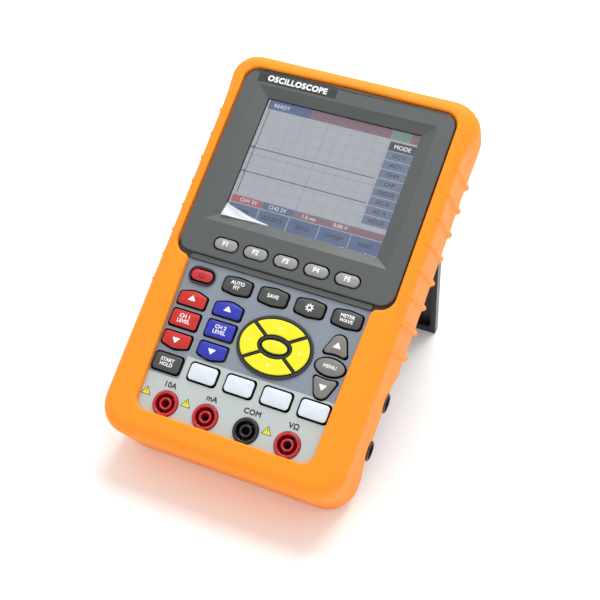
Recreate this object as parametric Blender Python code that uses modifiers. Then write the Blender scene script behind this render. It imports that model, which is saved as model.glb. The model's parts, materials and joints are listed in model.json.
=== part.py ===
"""Handheld oscilloscope and multimeter in a rubber holster, leaning back on its rear stand.

Every piece is drawn in the instrument's own frame: X across the face, Y up the face from the heel,
Z out of the face, with the holster's back plane at Z = 0. One tilted empty then leans the whole
instrument back, so that the heel and the stand's foot meet the floor at Z = 0 in the world and the
face looks towards -Y. All sizes are in metres.
"""

import math

import bmesh
import bpy
from mathutils import Matrix, Vector

# Pose of the instrument
LEAN = math.radians(37.5)
GAP = 0.0003

# Rubber holster
HOLSTER_LENGTH = 0.188
HOLSTER_DEPTH = 0.040
HOLSTER_HALF_TOP = 0.0585
HOLSTER_HALF_BOTTOM = 0.0565
TOP_CORNER = 0.0115
BOTTOM_CORNER = 0.014
FRONT_ROUND = 0.006
BACK_ROUND = 0.004
HEEL_FLAT_DEPTH = 0.0006
BACK_LIP = 0.0027
RIB_COUNT = 8
RIB_TOP = 0.1565
RIB_PITCH = 0.0124
RIB_LENGTH = 0.031
RIB_MIDDLE_Z = 0.0195
RIB_WIDTH = 0.0024
RIB_PROUD = 0.0013
RIB_RISE = math.radians(10.5)
RIB_EDGE = 0.0007
RIB_ROOT = 0.0007

# Case halves
CASE_HALF = 0.0512
CASE_BOTTOM = 0.0058
CASE_TOP = 0.1807
CASE_CORNER = 0.0065
WALL = 0.0020
REAR_LOW = 0.0030
PARTING = 0.0220
DECK_TOP = 0.0364
DECK_UNDER = 0.0345
BEZEL_TOP = 0.0390
BEZEL_BOTTOM_Y = 0.0861
BEZEL_ARCH = 0.0008
LEDGE_BOTTOM_Y = 0.0834
LEDGE_TOP = 0.0380
LEDGE_HALF = 0.0430
BOSS_X = 0.0440
BOSS_BOTTOM_Y = 0.0140
BOSS_TOP_Y = 0.1725
BOSS_RADIUS = 0.0035
PILOT_RADIUS = 0.0018

# Display
SCREEN_Y = 0.1375
WINDOW_HALF = (0.0373, 0.0302)
WINDOW_OUTER_HALF = (0.0437, 0.0351)
WINDOW_FLOOR = 0.0368
LENS_TOP = 0.0360
LENS_THICKNESS = 0.0010

# Keypad
PANEL_TOP = 0.0371
PANEL_LOW = 0.0367
PANEL_HALF = 0.0456
KEY_TOP = 0.0386
F_KEY_TOP = 0.0400
KEY_BASE = 0.0318
KEY_EDGE = 0.0006
CAP_SHRINK = 0.00035
HOLE_GROW = 0.00010
KEY_COLUMNS = (-0.0346, -0.01725, 0.0, 0.01725, 0.0345)
ROW_TOP_Y = 0.0766
ROW_RED_Y = (0.0655, 0.0554, 0.0451)
ROW_LOW_Y = 0.0348
RIGHT_COLUMN = 0.0346
SCROLL_Y = (0.0450, 0.0644)
MENU_Y = 0.0545
F_KEY_PITCH = 0.0145
F_KEY_Y = 0.0930
PAD_CENTRE = (0.00865, 0.0556)
PAD_OUTER = (0.01595, 0.0122)
PAD_INNER = (0.0079, 0.0052)
PAD_BUTTON = (0.0064, 0.00345)
PAD_RING = (0.0174, 0.01405)
PAD_WEB_HALF = 0.0007
PAD_WEB_ANGLE = math.radians(34)
RING_TOP = 0.0380

# Test-lead jacks and BNC connectors
JACK_PITCH = 0.01905
JACK_Y = 0.0178
JACK_RADIUS = 0.0056
JACK_TOP = 0.0380
BNC_Y = (0.0522, 0.0300)
BNC_Z = 0.0085
BNC_RADIUS = 0.0046
BNC_END = 0.0576
BNC_START = 0.0440
BNC_NOTCH_Y = (0.0130, 0.0625)
BNC_NOTCH_Z = 0.0100
BNC_NOTCH_CORNER = 0.003

# Ports on the left side
PORT_WINDOW_Y = (0.0330, 0.0720)
PORT_WINDOW_Z = (0.0090, 0.0210)
DC_JACK_Y = 0.0620
USB_Y = 0.0430
PORT_Z = 0.0150

# Battery door
DOOR_HALF = 0.0300
DOOR_Y = (0.0560, 0.1240)
DOOR_RECESS = 0.0018
PAD_BACK = 0.0003
BACK_MIDDLE = (0, 0.0950)
DOOR_SCREW_X = 0.0270

# Stand
HINGE_Y = 0.1410
HINGE_Z = -0.0030
STAND_OPEN = math.radians(72.3)
STAND_HALF = 0.0530
STAND_HALF_THICKNESS = 0.0025
STAND_RIM = 0.0028
STAND_FLOOR = 0.0020
STAND_DRAWN_LENGTH = 0.0950
KNUCKLE_RADIUS = 0.0030
RAIL_HALF = 0.0500
LUG_X = (0.0280, 0.0340)
ROD_RADIUS = 0.00125
BORE_RADIUS = 0.0016

COLOURS = {
    "holster_rubber": ((1.0, 0.35, 0.03), 0.5, 0.0),
    "case_plastic": ((0.11, 0.12, 0.12), 0.45, 0.0),
    "panel_film": ((0.27, 0.29, 0.33), 0.4, 0.0),
    "key_grey": ((0.30, 0.30, 0.29), 0.45, 0.0),
    "key_dark": ((0.07, 0.075, 0.07), 0.5, 0.0),
    "key_mid": ((0.19, 0.19, 0.18), 0.5, 0.0),
    "key_red": ((0.72, 0.04, 0.02), 0.45, 0.0),
    "key_blue": ((0.05, 0.06, 0.55), 0.45, 0.0),
    "key_white": ((0.85, 0.90, 0.95), 0.45, 0.0),
    "key_yellow": ((0.90, 0.83, 0.02), 0.45, 0.0),
    "ring_dark": ((0.045, 0.045, 0.04), 0.4, 0.0),
    "screen_lens": ((0.8, 0.85, 0.9), 0.05, 0.0),
    "display": ((0.35, 0.38, 0.45), 0.3, 0.0),
    "circuit_board": ((0.02, 0.16, 0.06), 0.4, 0.0),
    "key_mat": ((0.5, 0.5, 0.5), 0.6, 0.0),
    "battery_wrap": ((0.05, 0.12, 0.30), 0.4, 0.0),
    "steel": ((0.6, 0.6, 0.6), 0.3, 1.0),
    "jack_red": ((0.55, 0.02, 0.03), 0.3, 0.0),
    "jack_black": ((0.02, 0.02, 0.02), 0.3, 0.0),
    "stand_plastic": ((0.02, 0.02, 0.022), 0.4, 0.0),
}


def clear_scene():
    for thing in list(bpy.data.objects):
        bpy.data.objects.remove(thing, do_unlink=True)


def new_collection(name):
    group = bpy.data.collections.new(name)
    bpy.context.scene.collection.children.link(group)
    return group


clear_scene()
PARTS = new_collection("oscilloscope")
CUTTERS = new_collection("cutters")


def heel_centre():
    """The middle of the heel's flat, in the instrument's frame: the rounded heel cut by the floor."""
    reach = BACK_ROUND - HEEL_FLAT_DEPTH
    return Vector((0, BACK_ROUND - reach * math.sin(LEAN), BACK_ROUND - reach * math.cos(LEAN)))


FRAME = bpy.data.objects.new("leaning_frame", None)
PARTS.objects.link(FRAME)
FRAME.rotation_euler = (LEAN, 0, 0)
FRAME.location = -(Matrix.Rotation(LEAN, 3, "X") @ heel_centre())
SIDEWAYS = Matrix(((0, 0, 1), (1, 0, 0), (0, 1, 0))).to_euler()


def material(slot):
    """The Principled material of one slot, made the first time it is asked for."""
    if slot in bpy.data.materials:
        return bpy.data.materials[slot]
    colour, roughness, metallic = COLOURS[slot]
    made = bpy.data.materials.new(slot)
    made.use_nodes = True
    shader = made.node_tree.nodes["Principled BSDF"]
    shader.inputs["Base Color"].default_value = (*colour, 1)
    shader.inputs["Roughness"].default_value = roughness
    shader.inputs["Metallic"].default_value = metallic
    return made


def place(thing, slot=None, location=(0, 0, 0), rotation=(0, 0, 0)):
    """Puts an object in the instrument's frame: a part with a slot, a cutter without one."""
    thing.parent = FRAME
    thing.location = location
    thing.rotation_euler = rotation
    if slot:
        PARTS.objects.link(thing)
        thing.data.materials.append(material(slot))
    else:
        CUTTERS.objects.link(thing)
        thing.hide_render = True
        thing.display_type = "WIRE"
    return thing


# Outlines ----------------------------------------------------------------------------------------

def rounded(corners, segments=3):
    """A closed outline from (x, y, radius) corners, each rounded by an arc that touches both sides."""
    points = []
    count = len(corners)
    for index, (x, y, radius) in enumerate(corners):
        corner = Vector((x, y))
        before = (Vector(corners[index - 1][:2]) - corner).normalized()
        after = (Vector(corners[(index + 1) % count][:2]) - corner).normalized()
        half = before.angle(after) / 2
        centre = corner + (before + after).normalized() * radius / math.sin(half)
        start = corner + before * radius / math.tan(half) - centre
        end = corner + after * radius / math.tan(half) - centre
        turn = math.atan2(start.x * end.y - start.y * end.x, start.dot(end))
        for step in range(segments + 1):
            angle = turn * step / segments
            points.append(centre + Matrix.Rotation(angle, 2) @ start)
    return [(p.x, p.y) for p in points]


def box_outline(half_x, half_y, radius, centre=(0, 0), segments=3):
    x, y = centre
    corners = [(x - half_x, y - half_y, radius), (x + half_x, y - half_y, radius)]
    corners += [(x + half_x, y + half_y, radius), (x - half_x, y + half_y, radius)]
    return rounded(corners, segments)


def ellipse(radii, count=20):
    turn = 2 * math.pi / count
    return [(radii[0] * math.cos(i * turn), radii[1] * math.sin(i * turn)) for i in range(count)]


def resized(outline, grow):
    """The outline scaled about its middle so that each side moves out by the given amount."""
    xs = [x for x, y in outline]
    ys = [y for x, y in outline]
    middle_x = (min(xs) + max(xs)) / 2
    middle_y = (min(ys) + max(ys)) / 2
    scale_x = 1 + 2 * grow / (max(xs) - min(xs))
    scale_y = 1 + 2 * grow / (max(ys) - min(ys))
    return [(middle_x + (x - middle_x) * scale_x, middle_y + (y - middle_y) * scale_y) for x, y in outline]


def moved(outline, centre):
    return [(x + centre[0], y + centre[1]) for x, y in outline]


def pad_segment(quarter, grow):
    """One of the four ring segments of the direction pad: 0 right, 1 up, 2 left, 3 down."""
    outer = (PAD_OUTER[0] + grow, PAD_OUTER[1] + grow)
    inner = (PAD_INNER[0] - grow, PAD_INNER[1] - grow)
    clearance = PAD_WEB_HALF - grow
    web = PAD_WEB_ANGLE
    edges = [-web, web, math.pi - web, math.pi + web, 2 * math.pi - web]
    low, high = edges[quarter], edges[quarter + 1]

    def crossing(radii, angle, side):
        """The ellipse's parameter where it is the clearance away from the web's centre line."""
        normal = Vector((-math.sin(angle), math.cos(angle))) * side
        on_line = math.atan2(math.sin(angle) / radii[1], math.cos(angle) / radii[0])
        near, far = angle + math.remainder(on_line - angle, 2 * math.pi), (low + high) / 2
        for _ in range(40):
            middle = (near + far) / 2
            reach = Vector((radii[0] * math.cos(middle), radii[1] * math.sin(middle))).dot(normal)
            near, far = (middle, far) if reach < clearance else (near, middle)
        return (near + far) / 2

    points = []
    for radii, first, last in ((outer, low, high), (inner, high, low)):
        start = crossing(radii, first, 1 if first == low else -1)
        end = crossing(radii, last, -1 if last == high else 1)
        steps = 6 if radii is outer else 4
        for step in range(steps + 1):
            angle = start + (end - start) * step / steps
            points.append((radii[0] * math.cos(angle), radii[1] * math.sin(angle)))
    return points


# Solids ------------------------------------------------------------------------------------------

def plate(name, outlines, low, high, edge=0.0, edge_steps=1):
    """A flat slab from Z low to high. Outlines after the first are holes, or islands of a cutter."""
    curve = bpy.data.curves.new(name + "_outline", "CURVE")
    curve.dimensions = "2D"
    curve.fill_mode = "BOTH"
    curve.extrude = (high - low) / 2
    for outline in outlines:
        spline = curve.splines.new("POLY")
        spline.points.add(len(outline) - 1)
        for point, (x, y) in zip(spline.points, outline):
            point.co = (x, y, 0, 1)
        spline.use_cyclic_u = True
    drawn = bpy.data.objects.new(name + "_outline", curve)
    PARTS.objects.link(drawn)
    mesh = bpy.data.meshes.new_from_object(drawn.evaluated_get(bpy.context.evaluated_depsgraph_get()))
    bpy.data.objects.remove(drawn)
    mesh.name = name
    mesh.materials.clear()
    work = bmesh.new()
    work.from_mesh(mesh)
    bmesh.ops.remove_doubles(work, verts=work.verts, dist=0.000002)
    bmesh.ops.translate(work, verts=work.verts, vec=(0, 0, (low + high) / 2))
    if len(outlines) == 1:
        bmesh.ops.dissolve_limit(work, angle_limit=0.001, verts=work.verts, edges=work.edges)
    bmesh.ops.recalc_face_normals(work, faces=work.faces)
    if edge:
        rim = [e for e in work.edges if all(v.co.z > high - 0.00001 for v in e.verts)]
        bmesh.ops.bevel(work, geom=rim, offset=edge, segments=edge_steps, profile=0.5, affect="EDGES")
    work.to_mesh(mesh)
    work.free()
    return bpy.data.objects.new(name, mesh)


def round_bar(name, radius, length, sides=16):
    """A cylinder along Z, centred."""
    work = bmesh.new()
    bmesh.ops.create_cone(work, cap_ends=True, segments=sides, radius1=radius, radius2=radius, depth=length)
    mesh = bpy.data.meshes.new(name)
    work.to_mesh(mesh)
    work.free()
    return bpy.data.objects.new(name, mesh)


def block(name, low, high):
    """A box between two corners."""
    middle = [(a + b) / 2 for a, b in zip(low, high)]
    size = [b - a for a, b in zip(low, high)]
    work = bmesh.new()
    bmesh.ops.create_cube(work, size=1, matrix=Matrix.Translation(middle) @ Matrix.Diagonal((*size, 1)))
    mesh = bpy.data.meshes.new(name)
    work.to_mesh(mesh)
    work.free()
    return bpy.data.objects.new(name, mesh)


def turned(name, profile, steps=16):
    """A turned piece about Z: the profile leaves the axis at the top, runs outwards and down its
    outer side, and comes back to the axis at the bottom."""
    mesh = bpy.data.meshes.new(name)
    edges = [(i, i + 1) for i in range(len(profile) - 1)]
    mesh.from_pydata([(r, 0, z) for r, z in profile], edges, [])
    made = bpy.data.objects.new(name, mesh)
    screw = made.modifiers.new("turn", "SCREW")
    screw.steps = steps
    screw.render_steps = steps
    screw.use_merge_vertices = True
    screw.merge_threshold = 0.00001
    return made


def combine(target, tool, operation):
    modifier = target.modifiers.new(tool.name, "BOOLEAN")
    modifier.operation = operation
    modifier.object = tool
    modifier.solver = "EXACT"


def cut(target, tool, location=(0, 0, 0), rotation=(0, 0, 0)):
    combine(target, place(tool, None, location, rotation), "DIFFERENCE")


def add(target, tool, location=(0, 0, 0), rotation=(0, 0, 0)):
    combine(target, place(tool, None, location, rotation), "UNION")


def key_outlines():
    """Every key: name -> (outline about its own middle, middle on the face, slot, top height)."""
    def barrel(bottom_bulge, top_bulge, half_x=0.0069, half_y=0.0041, radius=0.0014):
        corners = [(-half_x, -half_y + bottom_bulge, radius)]
        if bottom_bulge:
            corners.append((0, -half_y, 0.010))
        corners += [(half_x, -half_y + bottom_bulge, radius), (half_x, half_y - top_bulge, radius)]
        if top_bulge:
            corners.append((0, half_y, 0.010))
        corners.append((-half_x, half_y - top_bulge, radius))
        return rounded(corners, 2)

    def arrowhead(sign):
        corners = [(-0.0062, -0.0050, 0.0013), (0, -0.0041, 0.010), (0.0062, -0.0050, 0.0013)]
        corners += [(0.0025, 0.0050, 0.0034), (-0.0025, 0.0050, 0.0034)]
        if sign < 0:
            corners = [(x, -y, radius) for x, y, radius in reversed(corners)]
        return rounded(corners, 2)

    keys = {}
    stadium = box_outline(0.00575, 0.0029, 0.0028, segments=4)
    for number in range(5):
        middle = ((number - 2) * F_KEY_PITCH, F_KEY_Y)
        keys[f"key_f{number + 1}"] = (stadium, middle, "key_grey", F_KEY_TOP)
    power = box_outline(0.0056, 0.00295, 0.0028, segments=4)
    keys["key_power"] = (power, (KEY_COLUMNS[0], ROW_TOP_Y), "key_red", KEY_TOP)
    for name, column in zip(("auto", "save", "light", "mode"), KEY_COLUMNS[1:]):
        outline = barrel(0.0009, 0.0009, half_y=0.00425, radius=0.0019)
        keys[f"key_{name}"] = (outline, (column, ROW_TOP_Y), "key_dark", KEY_TOP)
    for colour, column in (("red", KEY_COLUMNS[0]), ("blue", KEY_COLUMNS[1])):
        shapes = (("up", barrel(0, 0.0021)), ("middle", barrel(0, 0)), ("down", barrel(0.0019, 0)))
        for (name, outline), row in zip(shapes, ROW_RED_Y):
            keys[f"key_{colour}_{name}"] = (outline, (column, row), f"key_{colour}", KEY_TOP)
    low = box_outline(0.0068, 0.0042, 0.0018, segments=2)
    keys["key_run"] = (low, (KEY_COLUMNS[0], ROW_LOW_Y), "key_dark", KEY_TOP)
    for number, column in enumerate(KEY_COLUMNS[1:]):
        keys[f"key_white_{number + 1}"] = (low, (column, ROW_LOW_Y), "key_white", KEY_TOP)
    keys["key_scroll_up"] = (arrowhead(1), (RIGHT_COLUMN, SCROLL_Y[1]), "key_mid", KEY_TOP)
    keys["key_menu"] = (ellipse((0.0070, 0.00415), 16), (RIGHT_COLUMN, MENU_Y), "key_mid", KEY_TOP)
    keys["key_scroll_down"] = (arrowhead(-1), (RIGHT_COLUMN, SCROLL_Y[0]), "key_mid", KEY_TOP)
    return keys


KEYS = key_outlines()


def key_caps():
    for name, (outline, middle, slot, top) in KEYS.items():
        cap = plate(name, [resized(outline, -CAP_SHRINK)], 0, top - KEY_BASE, KEY_EDGE)
        place(cap, slot, (*middle, KEY_BASE))
    for quarter, name in enumerate(("right", "up", "left", "down")):
        cap = plate(f"key_pad_{name}", [pad_segment(quarter, 0)], 0, KEY_TOP - KEY_BASE, KEY_EDGE)
        place(cap, "key_yellow", (*PAD_CENTRE, KEY_BASE))
    centre = plate("key_pad_centre", [ellipse(PAD_BUTTON, 16)], 0, KEY_TOP - KEY_BASE, KEY_EDGE)
    place(centre, "key_yellow", (*PAD_CENTRE, KEY_BASE))


def trim_rings():
    holes = [pad_segment(quarter, CAP_SHRINK) for quarter in range(4)]
    holes.append(ellipse((PAD_BUTTON[0] + CAP_SHRINK, PAD_BUTTON[1] + CAP_SHRINK), 16))
    pad_ring = plate("direction_pad_ring", [ellipse(PAD_RING, 24), *holes], PANEL_TOP + GAP, RING_TOP)
    place(pad_ring, "ring_dark", (*PAD_CENTRE, 0))
    outline = KEYS["key_power"][0]
    ring_outline = box_outline(0.0064, 0.00425, 0.0041, segments=4)
    power_ring = plate("power_ring", [ring_outline, resized(outline, HOLE_GROW)], PANEL_TOP + GAP, RING_TOP)
    place(power_ring, "ring_dark", (*KEYS["key_power"][1], 0))


# Holster -----------------------------------------------------------------------------------------

def case_outline(grow):
    half = CASE_HALF + grow
    top = CASE_TOP + grow
    bottom = CASE_BOTTOM - grow
    corner = CASE_CORNER + grow
    corners = [(-half, bottom, corner), (half, bottom, corner), (half, top - BEZEL_ARCH, corner)]
    corners += [(0, top, 0.3), (-half, top - BEZEL_ARCH, corner)]
    return rounded(corners)


def front_opening():
    """The holster's front opening: wide round the display, a soft shoulder, narrow round the keypad."""
    half = CASE_HALF + 0.0007
    top = CASE_TOP + 0.0007
    side = [(0.0411, 0.0123, 0.005), (0.0436, 0.0836, 0.003)]
    side += [(half, 0.0850, 0.0068), (half, top - BEZEL_ARCH, 0.007)]
    mirrored = [(-x, y, radius) for x, y, radius in reversed(side)]
    return rounded(side + [(0, top, 0.3)] + mirrored, 4)


def rib_row(side):
    """Eight grip ribs down one side wall, rising towards the back."""
    taper = (HOLSTER_HALF_TOP - HOLSTER_HALF_BOTTOM) / HOLSTER_LENGTH
    work = bmesh.new()
    for number in range(RIB_COUNT):
        front_y = RIB_TOP - number * RIB_PITCH
        middle_y = front_y + RIB_LENGTH / 2 * math.sin(RIB_RISE)
        wall_x = HOLSTER_HALF_BOTTOM + taper * middle_y
        spot = Matrix.Translation((side * (wall_x - RIB_ROOT), middle_y, RIB_MIDDLE_Z))
        size = Matrix.Diagonal((2 * (RIB_PROUD + RIB_ROOT), RIB_WIDTH, RIB_LENGTH, 1))
        made = bmesh.ops.create_cube(work, size=1, matrix=spot @ Matrix.Rotation(RIB_RISE, 4, "X") @ size)
        outside = {v for v in made["verts"] if v.co.x * side > wall_x}
        edges = [e for e in work.edges if set(e.verts) <= outside]
        bmesh.ops.bevel(work, geom=edges, offset=RIB_EDGE, segments=1, profile=0.5, affect="EDGES")
    mesh = bpy.data.meshes.new("ribs")
    work.to_mesh(mesh)
    work.free()
    return bpy.data.objects.new("ribs_right" if side > 0 else "ribs_left", mesh)


def floor_cut(target):
    """Takes off everything under the floor."""
    tool = block(target.name + "_floor", (-0.1, -0.15, -0.1), (0.1, 0.25, 0))
    cut(target, tool, heel_centre(), (-LEAN, 0, 0))


def bnc_notch():
    """The notch in the right wall, open at the back, that clears the plugs on the BNC sockets."""
    low, high = BNC_NOTCH_Y
    below = -0.010
    corners = [(low, below, 0.001), (high, below, 0.001)]
    corners += [(high, BNC_NOTCH_Z, BNC_NOTCH_CORNER), (low, BNC_NOTCH_Z, BNC_NOTCH_CORNER)]
    return rounded(corners, 3)


def holster():
    low, high, top = HOLSTER_HALF_BOTTOM, HOLSTER_HALF_TOP, HOLSTER_LENGTH
    corners = [(-low, 0, BOTTOM_CORNER), (low, 0, BOTTOM_CORNER)]
    corners += [(high, top, TOP_CORNER), (-high, top, TOP_CORNER)]
    body = plate("holster", [rounded(corners, 5)], 0, HOLSTER_DEPTH, FRONT_ROUND, 3)
    work = bmesh.new()
    work.from_mesh(body.data)
    rim = [e for e in work.edges if all(v.co.z < 0.00001 for v in e.verts)]
    bmesh.ops.bevel(work, geom=rim, offset=BACK_ROUND, segments=3, profile=0.5, affect="EDGES")
    work.to_mesh(body.data)
    work.free()
    place(body, "holster_rubber")
    add(body, rib_row(1))
    add(body, rib_row(-1))
    cut(body, plate("holster_cavity", [case_outline(0.0004)], BACK_LIP, PANEL_TOP + GAP))
    cut(body, plate("holster_front", [front_opening()], PANEL_TOP - 0.0004, HOLSTER_DEPTH + 0.001))
    back_window = box_outline(0.0440, 0.0750, 0.008, BACK_MIDDLE)
    cut(body, plate("holster_back", [back_window], -0.001, BACK_LIP + 0.001))
    cut(body, plate("bnc_notch", [bnc_notch()], 0.0490, 0.0620), (0, 0, 0), SIDEWAYS)
    for number, y in enumerate(BNC_Y):
        hole = round_bar(f"bnc_hole_{number}", BNC_RADIUS + 0.0005, 0.020)
        cut(body, hole, (0.0590, y, BNC_Z), (0, math.pi / 2, 0))
    middle_y, half_y = sum(PORT_WINDOW_Y) / 2, (PORT_WINDOW_Y[1] - PORT_WINDOW_Y[0]) / 2
    half_z = (PORT_WINDOW_Z[1] - PORT_WINDOW_Z[0]) / 2
    outline = box_outline(half_y, half_z, 0.003, (middle_y, PORT_Z), 2)
    cut(body, plate("port_window", [outline], -0.0620, -0.0480), (0, 0, 0), SIDEWAYS)
    floor_cut(body)


# Case --------------------------------------------------------------------------------------------

def boss_spots():
    return [(x, y) for x in (-BOSS_X, BOSS_X) for y in (BOSS_BOTTOM_Y, BOSS_TOP_Y)]


def key_windows(grow):
    """Square-cornered windows in the deck: one under each key, one under the three keys of the
    right column, and an oval one under the direction pad."""
    spans = []
    for name, (outline, (x, y), slot, top) in KEYS.items():
        half_x = max(u for u, v in outline) + grow
        half_y = max(v for u, v in outline) + grow
        if top != F_KEY_TOP and x < RIGHT_COLUMN or y == ROW_TOP_Y or y == ROW_LOW_Y:
            spans.append((x - half_x, y - half_y, x + half_x, y + half_y))
    menu_half = max(u for u, v in KEYS["key_menu"][0]) + grow
    arrow_half = max(v for u, v in KEYS["key_scroll_up"][0]) + grow
    lowest, highest = SCROLL_Y[0] - arrow_half, SCROLL_Y[1] + arrow_half
    spans.append((RIGHT_COLUMN - menu_half, lowest, RIGHT_COLUMN + menu_half, highest))
    windows = [[(a, b), (c, b), (c, d), (a, d)] for a, b, c, d in spans]
    windows.append(moved(ellipse((PAD_OUTER[0] + grow, PAD_OUTER[1] + grow), 16), PAD_CENTRE))
    return windows


def window_bevel():
    """The sloped sides of the display window, carried a little above the bezel."""
    work = bmesh.new()
    bmesh.ops.create_cube(work, size=1)
    slope = (BEZEL_TOP + 0.001 - WINDOW_FLOOR) / (BEZEL_TOP - WINDOW_FLOOR)
    for vertex in work.verts:
        upper = vertex.co.z > 0
        halves = zip(WINDOW_HALF, WINDOW_OUTER_HALF)
        half_x, half_y = [inner + (outer - inner) * slope * upper for inner, outer in halves]
        vertex.co.x = math.copysign(half_x, vertex.co.x)
        vertex.co.y = math.copysign(half_y, vertex.co.y)
        vertex.co.z = BEZEL_TOP + 0.001 if upper else WINDOW_FLOOR
    mesh = bpy.data.meshes.new("window_bevel")
    work.to_mesh(mesh)
    work.free()
    return bpy.data.objects.new("window_bevel", mesh)


def front_case():
    case = place(plate("front_case", [case_outline(0)], PARTING + GAP, DECK_TOP), "case_plastic")
    half, top = CASE_HALF, CASE_TOP
    low = BEZEL_BOTTOM_Y
    corners = [(-half, low, 0.0065), (half, low, 0.0065), (half, top - BEZEL_ARCH, CASE_CORNER)]
    corners += [(0, top, 0.3), (-half, top - BEZEL_ARCH, CASE_CORNER)]
    add(case, plate("bezel", [rounded(corners)], DECK_TOP - 0.0010, BEZEL_TOP, 0.0006))
    ledge_low = (-LEDGE_HALF, LEDGE_BOTTOM_Y, DECK_TOP - 0.0008)
    add(case, block("ledge", ledge_low, (LEDGE_HALF, low + 0.002, LEDGE_TOP)))
    cut(case, plate("front_pocket", [case_outline(-WALL)], PARTING - 0.001, DECK_UNDER))
    for number, spot in enumerate(boss_spots()):
        add(case, round_bar(f"boss_{number}", BOSS_RADIUS, 0.0292, 12), (*spot, 0.0204))
        cut(case, round_bar(f"pilot_{number}", PILOT_RADIUS, 0.0140, 10), (*spot, 0.0110))
    cut(case, window_bevel(), (0, SCREEN_Y, 0))
    through = DECK_UNDER - 0.001
    half_x, half_y = WINDOW_HALF
    window_low = (-half_x, SCREEN_Y - half_y, through)
    cut(case, block("window", window_low, (half_x, SCREEN_Y + half_y, WINDOW_FLOOR + 0.0005)))
    f_holes = []
    for number in range(5):
        outline, middle, slot, height = KEYS[f"key_f{number + 1}"]
        f_holes.append(moved(resized(outline, HOLE_GROW), middle))
    cut(case, plate("f_holes", f_holes, through, BEZEL_TOP + 0.001))
    cut(case, plate("deck_holes", key_windows(0.0004), through, DECK_TOP + 0.001))
    cut(case, plate("jack_holes", jack_holes(14), through, DECK_TOP + 0.001))


def jack_places():
    return [(number - 1.5) * JACK_PITCH for number in range(4)]


def jack_holes(count):
    radius = JACK_RADIUS + GAP
    return [moved(ellipse((radius, radius), count), (x, JACK_Y)) for x in jack_places()]


def keypad_panel():
    """The printed film on the deck, with a hole for every key and jack."""
    low_y, high_y = 0.0090, LEDGE_BOTTOM_Y - GAP
    outline = box_outline(PANEL_HALF, (high_y - low_y) / 2, 0.0015, (0, (low_y + high_y) / 2), 2)
    holes = []
    for name, (shape, middle, slot, top) in KEYS.items():
        if top != F_KEY_TOP:
            holes.append(moved(resized(shape, HOLE_GROW), middle))
    holes.append(moved(ellipse((PAD_OUTER[0] + 0.0004, PAD_OUTER[1] + 0.0004), 20), PAD_CENTRE))
    place(plate("keypad_panel", [outline, *holes, *jack_holes(16)], PANEL_LOW, PANEL_TOP), "panel_film")


def lug(name, side):
    """A hinge lug: a tongue of the case's back that ends in a half round about the hinge."""
    points = [(math.cos(math.pi * (1 + i / 6)), math.sin(math.pi * (1 + i / 6))) for i in range(7)]
    outline = [(HINGE_Y + KNUCKLE_RADIUS * c, HINGE_Z + KNUCKLE_RADIUS * s) for c, s in points]
    outline += [(HINGE_Y + KNUCKLE_RADIUS, 0.0020), (HINGE_Y - KNUCKLE_RADIUS, 0.0020)]
    low, high = sorted((side * LUG_X[0], side * LUG_X[1]))
    return plate(name, [outline], low, high)


def rear_case():
    case = place(plate("rear_case", [case_outline(0)], REAR_LOW, PARTING), "case_plastic")
    back_pad = box_outline(0.0436, 0.0746, 0.0076, BACK_MIDDLE)
    add(case, plate("back_pad", [back_pad], PAD_BACK, REAR_LOW + 0.001))
    for side, name in ((-1, "lug_left"), (1, "lug_right")):
        add(case, lug(name, side), (0, 0, 0), SIDEWAYS)
    cut(case, plate("rear_pocket", [case_outline(-WALL)], REAR_LOW + WALL, PARTING + 0.001))
    middle_y = (DOOR_Y[0] + DOOR_Y[1]) / 2
    half_y = (DOOR_Y[1] - DOOR_Y[0]) / 2
    recess = box_outline(DOOR_HALF, half_y, 0.002, (0, middle_y), 2)
    cut(case, plate("door_recess", [recess], -0.001, DOOR_RECESS))
    opening = box_outline(DOOR_HALF - 0.006, half_y - 0.003, 0.001, (0, middle_y), 2)
    cut(case, plate("battery_opening", [opening], 0, REAR_LOW + WALL + 0.001))
    cut(case, round_bar("hinge_bore", BORE_RADIUS, 0.110, 12), (0, HINGE_Y, HINGE_Z), (0, math.pi / 2, 0))
    for number, y in enumerate(BNC_Y):
        hole = round_bar(f"bnc_case_hole_{number}", BNC_RADIUS + GAP, 0.012)
        cut(case, hole, (BNC_START + 0.0055, y, BNC_Z), (0, math.pi / 2, 0))
    ports = [box_outline(0.0053, 0.0053, 0.0006, (DC_JACK_Y, PORT_Z), 1)]
    ports.append(box_outline(0.0046, 0.0026, 0.0006, (USB_Y, PORT_Z), 1))
    cut(case, plate("port_holes", ports, -0.0530, -0.0480), (0, 0, 0), SIDEWAYS)
    for number, spot in enumerate(boss_spots()):
        cut(case, round_bar(f"case_screw_hole_{number}", 0.0018, 0.006, 10), (*spot, 0.0040))
        cut(case, round_bar(f"case_screw_sink_{number}", 0.0034, 0.002, 12), (*spot, 0.0028))
    for number, side in enumerate((-1, 1)):
        hole = round_bar(f"door_screw_hole_{number}", 0.0015, 0.006, 10)
        cut(case, hole, (side * DOOR_SCREW_X, middle_y, 0.0030))


# Fasteners, jacks and inner pieces ---------------------------------------------------------------

def screw(name, head_radius, head_height, shank_radius, length, spot, z):
    """A pan-head screw whose head faces the back; z is the outside of its head."""
    profile = [(0, 0), (head_radius, 0), (head_radius, -head_height), (shank_radius, -head_height)]
    profile += [(shank_radius, -length), (0, -length)]
    place(turned(name, profile, 12), "steel", (*spot, z), (math.pi, 0, 0))


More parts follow.
